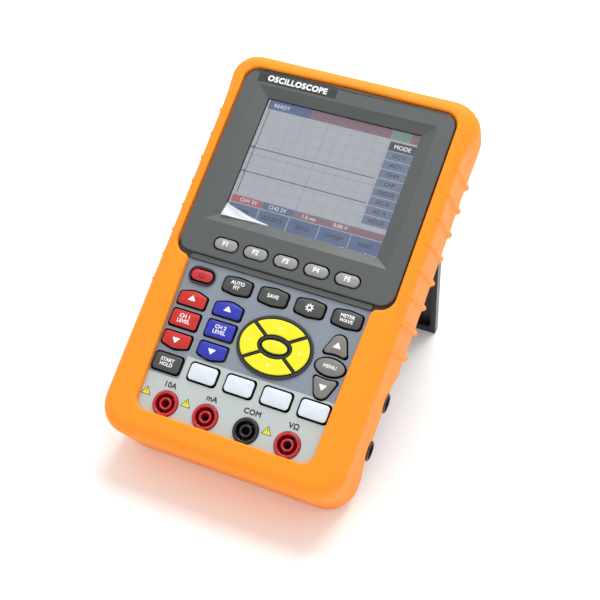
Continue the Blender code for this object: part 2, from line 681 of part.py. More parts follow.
def fasteners():
    for number, spot in enumerate(boss_spots()):
        screw(f"case_screw_{number + 1}", 0.0030, 0.0007, 0.0015, 0.0110, spot, 0.0030)
    middle_y = (DOOR_Y[0] + DOOR_Y[1]) / 2
    for name, side in (("left", -1), ("right", 1)):
        spot = (side * DOOR_SCREW_X, middle_y)
        screw(f"door_screw_{name}", 0.0022, 0.0006, 0.0012, 0.0056, spot, -0.0006)


def battery():
    middle_y = (DOOR_Y[0] + DOOR_Y[1]) / 2
    half_y = (DOOR_Y[1] - DOOR_Y[0]) / 2
    outline = box_outline(DOOR_HALF - GAP, half_y - GAP, 0.0018, (0, middle_y), 2)
    holes = [moved(ellipse((0.0015, 0.0015), 10), (side * DOOR_SCREW_X, middle_y)) for side in (-1, 1)]
    place(plate("battery_door", [outline, *holes], PAD_BACK, DOOR_RECESS - GAP), "case_plastic")
    pack = box_outline(DOOR_HALF - 0.0075, half_y - 0.0045, 0.003, (0, middle_y), 2)
    place(plate("battery_pack", [pack], DOOR_RECESS + 0.0005, 0.0190, 0.002), "battery_wrap")


def jacks():
    """Shrouded sockets for 4 mm safety plugs: an outer collar, a ring-shaped well and a centre tube."""
    bottom = 0.0262
    tube_top = JACK_TOP - 0.0004
    profile = [(0, bottom + 0.0012), (0.0020, bottom + 0.0012), (0.0020, tube_top), (0.0028, tube_top)]
    profile += [(0.0028, bottom + 0.0022), (0.0042, bottom + 0.0022), (0.0042, JACK_TOP)]
    profile += [(0.0047, JACK_TOP), (JACK_RADIUS, JACK_TOP - 0.0006), (JACK_RADIUS, bottom), (0, bottom)]
    names = ("jack_ten_amp", "jack_milliamp", "jack_common", "jack_volt_ohm")
    for name, x in zip(names, jack_places()):
        slot = "jack_black" if name == "jack_common" else "jack_red"
        place(turned(name, profile), slot, (x, JACK_Y, 0))


def bnc_connectors():
    """Coaxial sockets on the right side: a barrel with a ring-shaped well round the centre contact."""
    length = BNC_END - BNC_START
    well = length - 0.0080
    rim = BNC_RADIUS - 0.0009
    profile = [(0, length - 0.0020), (0.0015, length - 0.0020), (0.0015, well), (rim, well), (rim, length)]
    profile += [(BNC_RADIUS - 0.0004, length), (BNC_RADIUS, length - 0.0004), (BNC_RADIUS, 0), (0, 0)]
    for number, y in enumerate(BNC_Y):
        socket = turned(f"bnc_channel_{number + 1}", profile)
        place(socket, "jack_black", (BNC_START, y, BNC_Z), (0, math.pi / 2, 0))


def side_ports():
    def port_block(name, low_x, high_x, middle_y, half_y, half_z):
        low_corner = (low_x, middle_y - half_y, PORT_Z - half_z)
        return block(name, low_corner, (high_x, middle_y + half_y, PORT_Z + half_z))

    dc = place(port_block("dc_jack", -0.0508, -0.0390, DC_JACK_Y, 0.0048, 0.0048), "jack_black")
    bore = round_bar("dc_bore", 0.0031, 0.018, 12)
    cut(dc, bore, (-0.0510, DC_JACK_Y, PORT_Z), (0, math.pi / 2, 0))
    usb = place(port_block("usb_port", -0.0508, -0.0420, USB_Y, 0.0040, 0.0020), "steel")
    cut(usb, port_block("usb_slot", -0.0520, -0.0450, USB_Y, 0.0034, 0.0014))


def inner_pieces():
    lens_low = LENS_TOP - LENS_THICKNESS
    clear_x, clear_y = WINDOW_HALF[0] - GAP, WINDOW_HALF[1] - GAP
    lens_corner = (-clear_x, SCREEN_Y - clear_y, lens_low)
    place(block("screen_lens", lens_corner, (clear_x, SCREEN_Y + clear_y, LENS_TOP)), "screen_lens")
    place(block("lcd_module", (-0.0400, 0.1045, 0.0305), (0.0400, 0.1705, DECK_UNDER - GAP)), "display")
    main_outline = box_outline(0.0460, 0.0725, 0.002, BACK_MIDDLE, 1)
    place(plate("main_board", [main_outline], 0.0225, 0.0241), "circuit_board")
    keypad_outline = box_outline(0.0450, 0.0345, 0.002, (0, 0.0645), 1)
    place(plate("keypad_board", [keypad_outline], 0.0277, 0.0289), "circuit_board")
    place(plate("keypad_mat", [keypad_outline], 0.0292, 0.0302), "key_mat")
    can = place(block("shield_can", (0.0080, 0.0250, 0.0150), (0.0400, 0.0520, 0.0222)), "steel")
    cut(can, block("can_inside", (0.0085, 0.0255, 0.0155), (0.0395, 0.0515, 0.0230)))
    profile = [(0, 0.0030), (0.0010, 0.0030), (0.0010, 0.0050), (0.0060, 0.0050), (0.0060, 0), (0, 0)]
    buzzer = turned("buzzer", profile)
    place(buzzer, "jack_black", (-0.0300, 0.1480, 0.0170))


# Stand -------------------------------------------------------------------------------------------

def kickstand():
    """The rear stand, drawn folded about its hinge and turned open: a tray with a rim, a hinge rail
    whose square corner meets the back pad as the stop, and a foot cut level with the floor."""
    middle_y = -(0.0010 + STAND_DRAWN_LENGTH) / 2
    half_y = (STAND_DRAWN_LENGTH - 0.0010) / 2
    thick = STAND_HALF_THICKNESS
    spot = (0, HINGE_Y, HINGE_Z)
    opened = (STAND_OPEN, 0, 0)
    stand = plate("kickstand", [box_outline(STAND_HALF, half_y, 0.0022, (0, middle_y), 2)], -thick, thick)
    place(stand, "stand_plastic", spot, opened)
    angles = [math.pi * (0.5 + 1.5 * step / 9) for step in range(10)]
    profile = [(KNUCKLE_RADIUS * math.cos(a), KNUCKLE_RADIUS * math.sin(a)) for a in angles]
    profile.append((KNUCKLE_RADIUS, KNUCKLE_RADIUS))
    rail = plate("stand_rail", [profile], -RAIL_HALF, RAIL_HALF)
    add(stand, rail, spot, SIDEWAYS)
    tray_low, tray_high = 2 * STAND_RIM - stand_reach(), -0.0075
    tray_half = (tray_high - tray_low) / 2
    tray = box_outline(STAND_HALF - STAND_RIM, tray_half, 0.0010, (0, (tray_low + tray_high) / 2), 1)
    cut(stand, plate("stand_tray", [tray], STAND_FLOOR - thick, thick + 0.001), spot, opened)
    for name, side in (("lug_slot_left", -1), ("lug_slot_right", 1)):
        low, high = sorted((side * (LUG_X[0] - GAP), side * (LUG_X[1] + GAP)))
        cut(stand, block(name, (low, -0.0037, -0.0060), (high, 0.0060, 0.0060)), spot, opened)
    cut(stand, round_bar("stand_bore", BORE_RADIUS, 0.110, 12), spot, (0, math.pi / 2, 0))
    floor_cut(stand)
    rod = round_bar("hinge_rod", ROD_RADIUS, 2 * RAIL_HALF, 12)
    place(rod, "steel", spot, (0, math.pi / 2, 0))


def stand_reach():
    """How far down the stand's own length the floor cuts it, along the middle of its thickness."""
    up = Vector((math.sin(LEAN), math.cos(LEAN)))
    heel = heel_centre()
    height = (Vector((HINGE_Y, HINGE_Z)) - Vector((heel.y, heel.z))).dot(up)
    along = Vector((-math.cos(STAND_OPEN), -math.sin(STAND_OPEN)))
    return height / -along.dot(up)


key_caps()
trim_rings()
holster()
front_case()
keypad_panel()
rear_case()
fasteners()
battery()
jacks()
bnc_connectors()
side_ports()
inner_pieces()
kickstand()
for piece in PARTS.objects:
    if piece.type == "MESH":
        piece.data.shade_smooth()
        piece.data.set_sharp_from_angle(angle=math.radians(35))
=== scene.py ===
"""Looks of a handheld oscilloscope: rubber holster, dark bezel, lit display and rubber keys.

Every piece is modelled in the instrument's own frame, as if it lay on its back: X across the face,
Y up the face from the heel, Z out of the face. settle() then leans it back with the rest of the
model, at rest on its stand. Sizes are in metres.
"""

import bisect
import json
import math

import bpy
from mathutils import Matrix, Vector


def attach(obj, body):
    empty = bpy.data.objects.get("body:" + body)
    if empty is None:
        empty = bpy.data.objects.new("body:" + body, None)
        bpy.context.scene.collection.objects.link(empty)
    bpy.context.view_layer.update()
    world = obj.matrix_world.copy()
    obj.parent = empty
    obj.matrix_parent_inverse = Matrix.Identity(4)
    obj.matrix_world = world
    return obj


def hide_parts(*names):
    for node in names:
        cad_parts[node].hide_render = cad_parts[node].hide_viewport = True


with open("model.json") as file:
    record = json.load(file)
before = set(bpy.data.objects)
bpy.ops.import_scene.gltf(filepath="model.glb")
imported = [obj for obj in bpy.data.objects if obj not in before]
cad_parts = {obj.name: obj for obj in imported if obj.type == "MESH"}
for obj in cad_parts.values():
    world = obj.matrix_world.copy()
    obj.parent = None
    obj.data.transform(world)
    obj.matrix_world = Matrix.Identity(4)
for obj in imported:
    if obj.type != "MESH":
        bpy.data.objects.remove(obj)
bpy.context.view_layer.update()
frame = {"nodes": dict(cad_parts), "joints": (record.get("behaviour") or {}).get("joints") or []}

# The instrument's frame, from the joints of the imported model
JOINTS = {joint["name"]: joint for joint in frame["joints"]}
PRESS = Vector(JOINTS["key_f1_press"]["axis"])
LEAN = math.atan2(PRESS.y, -PRESS.z)
HINGE = Vector((0, 0.1410, -0.0030))
LEANING = Matrix.Rotation(LEAN, 4, "X")
TO_WORLD = Matrix.Translation(Vector(JOINTS["stand_hinge"]["pos_m"]) - LEANING @ HINGE) @ LEANING
SIDEWAYS = Matrix(((0, 0, 1, 0), (1, 0, 0, 0), (0, 1, 0, 0), (0, 0, 0, 1)))
ALONG_X = Matrix.Rotation(math.pi / 2, 4, "Y")

# Holster
HOLSTER_LENGTH = 0.188
HOLSTER_DEPTH = 0.040
HALF_TOP = 0.0585
HALF_BOTTOM = 0.0565
TOP_CORNER = 0.0115
BOTTOM_CORNER = 0.014
FRONT_ROUND = 0.006
BACK_ROUND = 0.004
BACK_LIP = 0.0027
LIP_ROUND = 0.0009
LIP_UNDER = 0.0374
BACK_WINDOW = (0.0440, 0.0750, 0.008, (0, 0.0950))
RIB_COUNT = 8
RIB_TOP = 0.1565
RIB_PITCH = 0.0124
RIB_HALF_WIDTH = 0.0015
RIB_PROUD = 0.0017
RIB_RISE = math.radians(10.5)
RIB_FRONT = 0.0385
RIB_LEAD = 0.012
CORNER_SWELL = 0.0030
FRONT_GAP = 0.0007
CAVITY_GAP = 0.0004

# Case
CASE_HALF = 0.0512
CASE_BOTTOM = 0.0058
CASE_TOP = 0.1807
CASE_CORNER = 0.0065
WALL = 0.0020
REAR_LOW = 0.0030
PARTING = 0.0220
DECK_TOP = 0.0364
DECK_UNDER = 0.0345
BEZEL_TOP = 0.0390
BEZEL_BOTTOM_Y = 0.0861
BEZEL_ARCH = 0.0008
LEDGE_BOTTOM_Y = 0.0834
LEDGE_TOP = 0.0380
NAMEPLATE = (-0.0450, 0.1741, -0.0060, 0.1785)
GAP = 0.0003
BOSSES = [(x, y) for x in (-0.0440, 0.0440) for y in (0.0140, 0.1725)]

# Display
SCREEN_Y = 0.1375
WINDOW_HALF = (0.0373, 0.0302)
WINDOW_OUTER_HALF = (0.0437, 0.0351)
WINDOW_FLOOR = 0.0368
LENS_TOP = 0.0360
PICTURE_TOP = 0.0345
PICTURE_LEFT = -0.0366
PICTURE_RIGHT = 0.0373
MENU_LEFT = 0.0246
MENU_MIDDLE = 0.0309
MENU_PITCH = 0.0046
BUTTON_PITCH = 0.0148
STATUS_LOW = -0.0224
STATUS_HIGH = -0.0190
TRACE_HEIGHTS = (0.0055, -0.0068)
FILM_X = (-0.0372, -0.0150)
FILM_Y = -0.0312
FILM_WIDE = 0.0062
FILM_NARROW = 0.0006
FILM_LIFT = 0.0019
FILM_RIPPLE = 0.00022
FILM_THICKNESS = 0.00006

# Keypad
PANEL_TOP = 0.0371
PANEL_LOW = 0.0367
PANEL_HALF = 0.0456
KEY_TOP = 0.0386
F_KEY_TOP = 0.0400
KEY_BASE = 0.0318
CAP_EDGE = 0.0007
CAP_DOME = 0.0004
CAP_SHRINK = 0.00035
HOLE_GROW = 0.00040
PAD_DARK_BELOW = 0.0004
KEY_COLUMNS = (-0.0346, -0.01725, 0.0, 0.01725, 0.0345)
ROW_TOP_Y = 0.0766
ROW_RED_Y = (0.0655, 0.0554, 0.0451)
ROW_LOW_Y = 0.0348
RIGHT_COLUMN = 0.0346
SCROLL_Y = (0.0450, 0.0644)
MENU_Y = 0.0545
F_KEY_PITCH = 0.0145
F_KEY_Y = 0.0930
PAD_CENTRE = (0.00865, 0.0556)
PAD_OUTER = (0.01595, 0.0122)
PAD_INNER = (0.0079, 0.0052)
PAD_BUTTON = (0.0064, 0.00345)
PAD_RING = (0.0174, 0.01405)
PAD_WEB_HALF = 0.0007
PAD_WEB_ANGLE = math.radians(34)
RING_TOP = 0.0380
PRINT_THICKNESS = 0.00006

# Jacks, connectors and ports
JACK_PITCH = 0.01905
JACK_Y = 0.0178
JACK_RADIUS = 0.0056
JACK_TOP = 0.0380
JACK_BOTTOM = 0.0262
BNC_Y = (0.0522, 0.0300)
BNC_Z = 0.0085
BNC_RADIUS = 0.0046
BNC_START = 0.0440
BNC_END = 0.0576
BNC_NOTCH = [(0.0130, -0.0100, 0.001), (0.0700, -0.0100, 0.001), (0.0700, 0.0000, 0.004)]
BNC_NOTCH += [(0.0600, 0.0100, 0.004), (0.0240, 0.0100, 0.004), (0.0140, 0.0000, 0.004)]
BNC_NOTCH_X = (0.0490, 0.0660)
BNC_RELIEF = 0.0005
PORT_Z = 0.0150
PORT_WINDOW = (0.0195, 0.0060, 0.003, (0.0525, PORT_Z))
PORT_WINDOW_X = (-0.0620, -0.0480)
DC_JACK_Y = 0.0620
USB_Y = 0.0430

# Back
DOOR_HALF = 0.0300
DOOR_Y = (0.0560, 0.1240)
DOOR_SCREW_X = 0.0270
DOOR_RECESS = 0.0018
BACK_PAD = 0.0003
SCREW_Y = (DOOR_Y[0] + DOOR_Y[1]) / 2
DOOR_HALF_LENGTH = (DOOR_Y[1] - DOOR_Y[0]) / 2
LUG_X = (0.0280, 0.0340)
LUG_RADIUS = 0.0030


# Finishes ----------------------------------------------------------------------------------------

def wire(tree, source, target):
    tree.links.new(source, target)


def maths(tree, operation, first, second=None, clamp=False):
    """A Math node; each input is a socket or a number."""
    node = tree.nodes.new("ShaderNodeMath")
    node.operation = operation
    node.use_clamp = clamp
    for socket, value in zip(node.inputs, (first, second)):
        if isinstance(value, bpy.types.NodeSocket):
            wire(tree, value, socket)
        elif value is not None:
            socket.default_value = value
    return node.outputs[0]


def new_group(name, inputs, outputs):
    group = bpy.data.node_groups.new(name, "ShaderNodeTree")
    for title, kind, value in inputs:
        socket = group.interface.new_socket(title, in_out="INPUT", socket_type=f"NodeSocket{kind}")
        if value is not None:
            socket.default_value = value
    for title, kind in outputs:
        group.interface.new_socket(title, in_out="OUTPUT", socket_type=f"NodeSocket{kind}")
    return group, group.nodes.new("NodeGroupInput").outputs, group.nodes.new("NodeGroupOutput").inputs


def moulded_surface_group():
    """Moulded plastic or rubber: broad tone changes, uneven gloss and a fine grain as height."""
    inputs = [("Place", "Vector", None), ("Colour", "Color", (0.5, 0.5, 0.5, 1))]
    inputs += [("Tone Change", "Float", 0.1), ("Gloss", "Float", 0.5), ("Grain Size", "Float", 0.0004)]
    outputs = [("Colour", "Color"), ("Roughness", "Float"), ("Height", "Float")]
    group, given, result = new_group("moulded_surface", inputs, outputs)
    broad = group.nodes.new("ShaderNodeTexNoise")
    broad.inputs["Scale"].default_value = 55
    broad.inputs["Detail"].default_value = 4
    wire(group, given["Place"], broad.inputs["Vector"])
    tone = group.nodes.new("ShaderNodeMix")
    tone.data_type = "RGBA"
    tone.blend_type = "MULTIPLY"
    tone.inputs[7].default_value = (0.62, 0.58, 0.56, 1)
    wire(group, maths(group, "MULTIPLY", broad.outputs["Fac"], given["Tone Change"]), tone.inputs[0])
    wire(group, given["Colour"], tone.inputs[6])
    wire(group, tone.outputs[2], result["Colour"])
    fine = group.nodes.new("ShaderNodeTexNoise")
    fine.inputs["Detail"].default_value = 2
    fine.inputs["Roughness"].default_value = 0.6
    wire(group, given["Place"], fine.inputs["Vector"])
    wire(group, maths(group, "DIVIDE", 0.5, given["Grain Size"]), fine.inputs["Scale"])
    wire(group, fine.outputs["Fac"], result["Height"])
    uneven = maths(group, "MULTIPLY", maths(group, "SUBTRACT", broad.outputs["Fac"], 0.5), 0.22)
    speckle = maths(group, "MULTIPLY", maths(group, "SUBTRACT", fine.outputs["Fac"], 0.5), 0.10)
    gloss = maths(group, "ADD", given["Gloss"], maths(group, "ADD", uneven, speckle), clamp=True)
    wire(group, gloss, result["Roughness"])
    return group


def printed_zone_group():
    """A soft-cornered box as a mask: 1 inside, 0 outside, with a narrow soft edge."""
    inputs = [("Place", "Vector", None), ("Middle X", "Float", 0.0), ("Middle Y", "Float", 0.0)]
    inputs += [("Half X", "Float", 0.01), ("Half Y", "Float", 0.01), ("Corner", "Float", 0.001)]
    group, given, result = new_group("printed_zone", inputs, [("Mask", "Float")])
    axes = group.nodes.new("ShaderNodeSeparateXYZ")
    wire(group, given["Place"], axes.inputs[0])
    outside = []
    for axis, middle, half in (("X", "Middle X", "Half X"), ("Y", "Middle Y", "Half Y")):
        offset = maths(group, "ABSOLUTE", maths(group, "SUBTRACT", axes.outputs[axis], given[middle]))
        straight = maths(group, "SUBTRACT", given[half], given["Corner"])
        reach = maths(group, "MAXIMUM", maths(group, "SUBTRACT", offset, straight), 0.0)
        outside.append(maths(group, "MULTIPLY", reach, reach))
    distance = maths(group, "SQRT", maths(group, "ADD", *outside))
    beyond = maths(group, "SUBTRACT", distance, given["Corner"])
    edge = 0.00008
    mask = maths(group, "SUBTRACT", 0.5, maths(group, "DIVIDE", beyond, edge), clamp=True)
    wire(group, mask, result["Mask"])
    return group


def dotted_lines_group():
    """Dotted rulings across X at a pitch up Y, as a mask; swapped for rulings the other way."""
    inputs = [("Along", "Float", 0.0), ("Across", "Float", 0.0), ("Line Pitch", "Float", 0.005)]
    inputs += [("Dot Pitch", "Float", 0.001), ("Width", "Float", 0.0002)]
    group, given, result = new_group("dotted_lines", inputs, [("Mask", "Float")])

    def near(value, pitch, width):
        wrapped = maths(group, "PINGPONG", value, maths(group, "MULTIPLY", pitch, 0.5))
        return maths(group, "LESS_THAN", wrapped, width)

    line = near(given["Across"], given["Line Pitch"], maths(group, "MULTIPLY", given["Width"], 0.5))
    dot = near(given["Along"], given["Dot Pitch"], maths(group, "MULTIPLY", given["Dot Pitch"], 0.25))
    wire(group, maths(group, "MULTIPLY", line, dot), result["Mask"])
    return group


MOULDED = moulded_surface_group()
ZONE = printed_zone_group()
DOTS = dotted_lines_group()


def use_group(tree, group, **values):
    node = tree.nodes.new("ShaderNodeGroup")
    node.node_tree = group
    for title, value in values.items():
        socket = node.inputs[title.replace("_", " ")]
        if isinstance(value, bpy.types.NodeSocket):
            wire(tree, value, socket)
        else:
            socket.default_value = value
    return node


def instrument_place(tree):
    """Coordinates in the instrument's own frame, so that a pattern lies square to the face."""
    source = tree.nodes.new("ShaderNodeTexCoord")
    mapping = tree.nodes.new("ShaderNodeMapping")
    mapping.vector_type = "TEXTURE"
    mapping.inputs["Location"].default_value = TO_WORLD.translation
    mapping.inputs["Rotation"].default_value = (LEAN, 0, 0)
    wire(tree, source.outputs["Object"], mapping.inputs["Vector"])
    return mapping.outputs[0]


def blended(tree, mask, first, second):
    """Two colours mixed by a mask."""
    mix = tree.nodes.new("ShaderNodeMix")
    mix.data_type = "RGBA"
    for socket, value in ((mix.inputs[0], mask), (mix.inputs[6], first), (mix.inputs[7], second)):
        if isinstance(value, bpy.types.NodeSocket):
            wire(tree, value, socket)
        else:
            socket.default_value = (*value, 1)
    return mix.outputs[2]


def moulded(name, colour, gloss=0.5, tone=0.15, grain=0.0004, depth=0.00001, **fixed):
    """A moulded plastic, rubber or painted finish. Fixed values go on the shader's own sockets."""
    made = bpy.data.materials.new(name)
    made.use_nodes = True
    tree = made.node_tree
    shader = tree.nodes["Principled BSDF"]
    given = colour(tree) if callable(colour) else (*colour, 1)
    surface = use_group(tree, MOULDED, Place=instrument_place(tree), Colour=given, Tone_Change=tone,
                        Gloss=gloss, Grain_Size=grain)
    wire(tree, surface.outputs["Colour"], shader.inputs["Base Color"])
    wire(tree, surface.outputs["Roughness"], shader.inputs["Roughness"])
    bump = tree.nodes.new("ShaderNodeBump")
    bump.inputs["Distance"].default_value = depth
    bump.inputs["Strength"].default_value = 0.6
    wire(tree, surface.outputs["Height"], bump.inputs["Height"])
    wire(tree, bump.outputs[0], shader.inputs["Normal"])
    for title, value in fixed.items():
        shader.inputs[title.replace("_", " ")].default_value = value
    return made


def panel_colour(tree):
    """The keypad film: blue-grey above, pale grey in an L round the jacks and the white keys."""
    place = instrument_place(tree)
    upper = use_group(tree, ZONE, Place=place, Middle_X=0.0125, Middle_Y=0.0652, Half_X=0.0395,
                      Half_Y=0.0248, Corner=0.0012)
    left = use_group(tree, ZONE, Place=place, Middle_X=-0.0430, Middle_Y=0.0600, Half_X=0.0160,
                     Half_Y=0.0306, Corner=0.0012)
    dark = maths(tree, "MAXIMUM", upper.outputs[0], left.outputs[0])
    return blended(tree, dark, (0.49, 0.54, 0.53), (0.232, 0.268, 0.320))


def lit(name, colour):
    """A part of the lit picture: the light has the colour, the surface stays dark."""
    made = moulded(name, (0.02, 0.02, 0.02), tone=0.1)
    shader = made.node_tree.nodes["Principled BSDF"]
    if callable(colour):
        wire(made.node_tree, colour(made.node_tree), shader.inputs["Emission Color"])
    else:
        shader.inputs["Emission Color"].default_value = (*colour, 1)
    shader.inputs["Emission Strength"].default_value = 1.0
    return made


def picture_colour(tree):
    """The pale picture with its dotted rulings and a stronger dotted cross in the middle."""
    axes = tree.nodes.new("ShaderNodeSeparateXYZ")
    wire(tree, instrument_place(tree), axes.inputs[0])
    x = maths(tree, "SUBTRACT", axes.outputs["X"], -0.0058)
    y = maths(tree, "SUBTRACT", axes.outputs["Y"], SCREEN_Y + 0.0021)
    rulings = []
    for along, across, pitch in ((x, y, 0.0052), (y, x, 0.0059)):
        dots = use_group(tree, DOTS, Along=along, Across=across, Line_Pitch=pitch, Dot_Pitch=0.00104,
                         Width=0.00030)
        rulings.append(dots.outputs[0])
    faint = maths(tree, "MULTIPLY", maths(tree, "MAXIMUM", *rulings), 0.42)
    cross = maths(tree, "MINIMUM", maths(tree, "ABSOLUTE", x), maths(tree, "ABSOLUTE", y))
    strong = maths(tree, "MULTIPLY", maths(tree, "LESS_THAN", cross, 0.00030), faint)
    mask = maths(tree, "ADD", faint, strong, clamp=True)
    return blended(tree, mask, (0.355, 0.378, 0.420), (0.07, 0.08, 0.11))


FINISH = {
    "holster_rubber": moulded("holster_rubber_look", (1.0, 0.305, 0.020), gloss=0.52, tone=0.10,
                              grain=0.0005, depth=0.00002, Specular_IOR_Level=0.18),
    "case_plastic": moulded("case_plastic_look", (0.088, 0.096, 0.096), gloss=0.48, tone=0.25,
                            grain=0.0003, depth=0.00002),
    "nameplate": moulded("nameplate_look", (0.030, 0.032, 0.034), gloss=0.4),
    # Near-black painted shade for the display window's upright walls, standing in for the shadow in the
    # recess.
    "window_wall_shade": moulded("window_wall_shade_look", (0.006, 0.006, 0.007), gloss=0.5),
    "panel_film": moulded("panel_film_look", panel_colour, gloss=0.42, tone=0.08, grain=0.0002),
    "key_grey": moulded("key_grey_look", (0.30, 0.305, 0.29), gloss=0.45, depth=0.00002),
    "key_dark": moulded("key_dark_look", (0.060, 0.064, 0.060), gloss=0.45, depth=0.00002),
    "key_mid": moulded("key_mid_look", (0.20, 0.195, 0.182), gloss=0.45, depth=0.00002),
    "key_red": moulded("key_red_look", (0.56, 0.016, 0.012), gloss=0.40, depth=0.00002),
    "key_power": moulded("key_power_look", (0.56, 0.022, 0.034), gloss=0.40, depth=0.00002),
    "key_blue": moulded("key_blue_look", (0.020, 0.030, 0.42), gloss=0.40, depth=0.00002),
    "key_white": moulded("key_white_look", (0.68, 0.75, 0.82), gloss=0.42, tone=0.04),
    "key_yellow": moulded("key_yellow_look", (0.88, 0.80, 0.012), gloss=0.42, tone=0.06),
    "key_wall": moulded("key_wall_look", (0.012, 0.012, 0.013), gloss=0.5),
    "ring_dark": moulded("ring_dark_look", (0.030, 0.030, 0.028), gloss=0.38, depth=0.00002),
    "circuit_board": moulded("circuit_board_look", (0.02, 0.16, 0.06), gloss=0.4),
    "key_mat": moulded("key_mat_look", (0.05, 0.05, 0.05), gloss=0.6),
    "battery_wrap": moulded("battery_wrap_look", (0.05, 0.12, 0.30), gloss=0.35),
    "steel": moulded("steel_look", (0.60, 0.60, 0.58), gloss=0.32, tone=0.2, Metallic=1.0),
    "contact": moulded("contact_look", (0.050, 0.042, 0.035), gloss=0.45, Metallic=1.0),
    "jack_red": moulded("jack_red_look", (0.55, 0.010, 0.020), gloss=0.22, grain=0.0006,
                        Coat_Weight=0.3),
    "jack_black": moulded("jack_black_look", (0.014, 0.014, 0.016), gloss=0.25, grain=0.0006,
                          Coat_Weight=0.3),
    "stand_plastic": moulded("stand_plastic_look", (0.013, 0.013, 0.015), gloss=0.36, depth=0.00002),
    "legend_white": moulded("legend_white_look", (0.86, 0.87, 0.88), gloss=0.5, tone=0.03),
    "legend_pale": moulded("legend_pale_look", (0.95, 0.93, 0.42), gloss=0.45, tone=0.03),
    "legend_dark": moulded("legend_dark_look", (0.030, 0.032, 0.036), gloss=0.5, tone=0.03),
    "legend_red": moulded("legend_red_look", (0.13, 0.004, 0.008), gloss=0.5, tone=0.03),
    "mark_yellow": moulded("mark_yellow_look", (0.80, 0.74, 0.03), gloss=0.5, tone=0.03),
    "picture": lit("picture_look", picture_colour),
    "lit_blue": lit("lit_blue_look", (0.085, 0.125, 0.235)),
    "lit_pale_blue": lit("lit_pale_blue_look", (0.130, 0.170, 0.265)),
    "lit_mauve": lit("lit_mauve_look", (0.200, 0.125, 0.160)),
    "lit_green": lit("lit_green_look", (0.160, 0.240, 0.200)),
    "lit_red": lit("lit_red_look", (0.33, 0.095, 0.12)),
    "lit_dark": lit("lit_dark_look", (0.045, 0.055, 0.06)),
    "lit_white": lit("lit_white_look", (0.70, 0.72, 0.76)),
}


def clear_finish(name, colour, roughness, **fixed):
    """Clear plastic: light passes through, with a faint unevenness in the gloss."""
    made = bpy.data.materials.new(name)
    made.use_nodes = True
    tree = made.node_tree
    shader = tree.nodes["Principled BSDF"]
    shader.inputs["Base Color"].default_value = (*colour, 1)
    haze = tree.nodes.new("ShaderNodeTexNoise")
    haze.inputs["Scale"].default_value = 40
    wire(tree, instrument_place(tree), haze.inputs["Vector"])
    uneven = maths(tree, "MULTIPLY", haze.outputs["Fac"], roughness)
    wire(tree, maths(tree, "ADD", uneven, roughness / 2), shader.inputs["Roughness"])
    for title, value in fixed.items():
        shader.inputs[title.replace("_", " ")].default_value = value
    return made


FINISH["screen_lens"] = clear_finish("screen_lens_look", (1, 1, 1), 0.05, Transmission_Weight=1.0,
                                     IOR=1.3)
FINISH["shipping_film"] = clear_finish("shipping_film_look", (0.95, 0.96, 0.98), 0.18, Alpha=0.42,
                                       IOR=1.45)


# Outlines ----------------------------------------------------------------------------------------

def rounded(corners, segments=8):
    """A closed outline from (x, y, radius) corners, each rounded by an arc that touches both sides."""
    points = []
    count = len(corners)
    for index, (x, y, radius) in enumerate(corners):
        corner = Vector((x, y))
        before = (Vector(corners[index - 1][:2]) - corner).normalized()
        after = (Vector(corners[(index + 1) % count][:2]) - corner).normalized()
        half = before.angle(after) / 2
        centre = corner + (before + after).normalized() * radius / math.sin(half)
        start = corner + before * radius / math.tan(half) - centre
        end = corner + after * radius / math.tan(half) - centre
        turn = math.atan2(start.x * end.y - start.y * end.x, start.dot(end))
        for step in range(segments + 1):
            points.append(centre + Matrix.Rotation(turn * step / segments, 2) @ start)
    return [(p.x, p.y) for p in points]


def box_outline(half_x, half_y, radius, centre=(0, 0), segments=8):
    x, y = centre
    corners = [(x - half_x, y - half_y, radius), (x + half_x, y - half_y, radius)]
    corners += [(x + half_x, y + half_y, radius), (x - half_x, y + half_y, radius)]
    return rounded(corners, segments)


def rectangle(low_x, low_y, high_x, high_y):
    return [(low_x, low_y), (high_x, low_y), (high_x, high_y), (low_x, high_y)]


def ellipse(radii, count=64):
    turn = 2 * math.pi / count
    return [(radii[0] * math.cos(i * turn), radii[1] * math.sin(i * turn)) for i in range(count)]


def circle(radius, count=48):
    return ellipse((radius, radius), count)


def resized(outline, grow):
    """The outline scaled about its middle so that each side moves out by the given amount."""
    xs = [x for x, y in outline]
    ys = [y for x, y in outline]
    middle_x = (min(xs) + max(xs)) / 2
    middle_y = (min(ys) + max(ys)) / 2
    scale_x = 1 + 2 * grow / (max(xs) - min(xs))
    scale_y = 1 + 2 * grow / (max(ys) - min(ys))
    return [(middle_x + (x - middle_x) * scale_x, middle_y + (y - middle_y) * scale_y) for x, y in outline]


def moved(outline, centre):
    return [(x + centre[0], y + centre[1]) for x, y in outline]


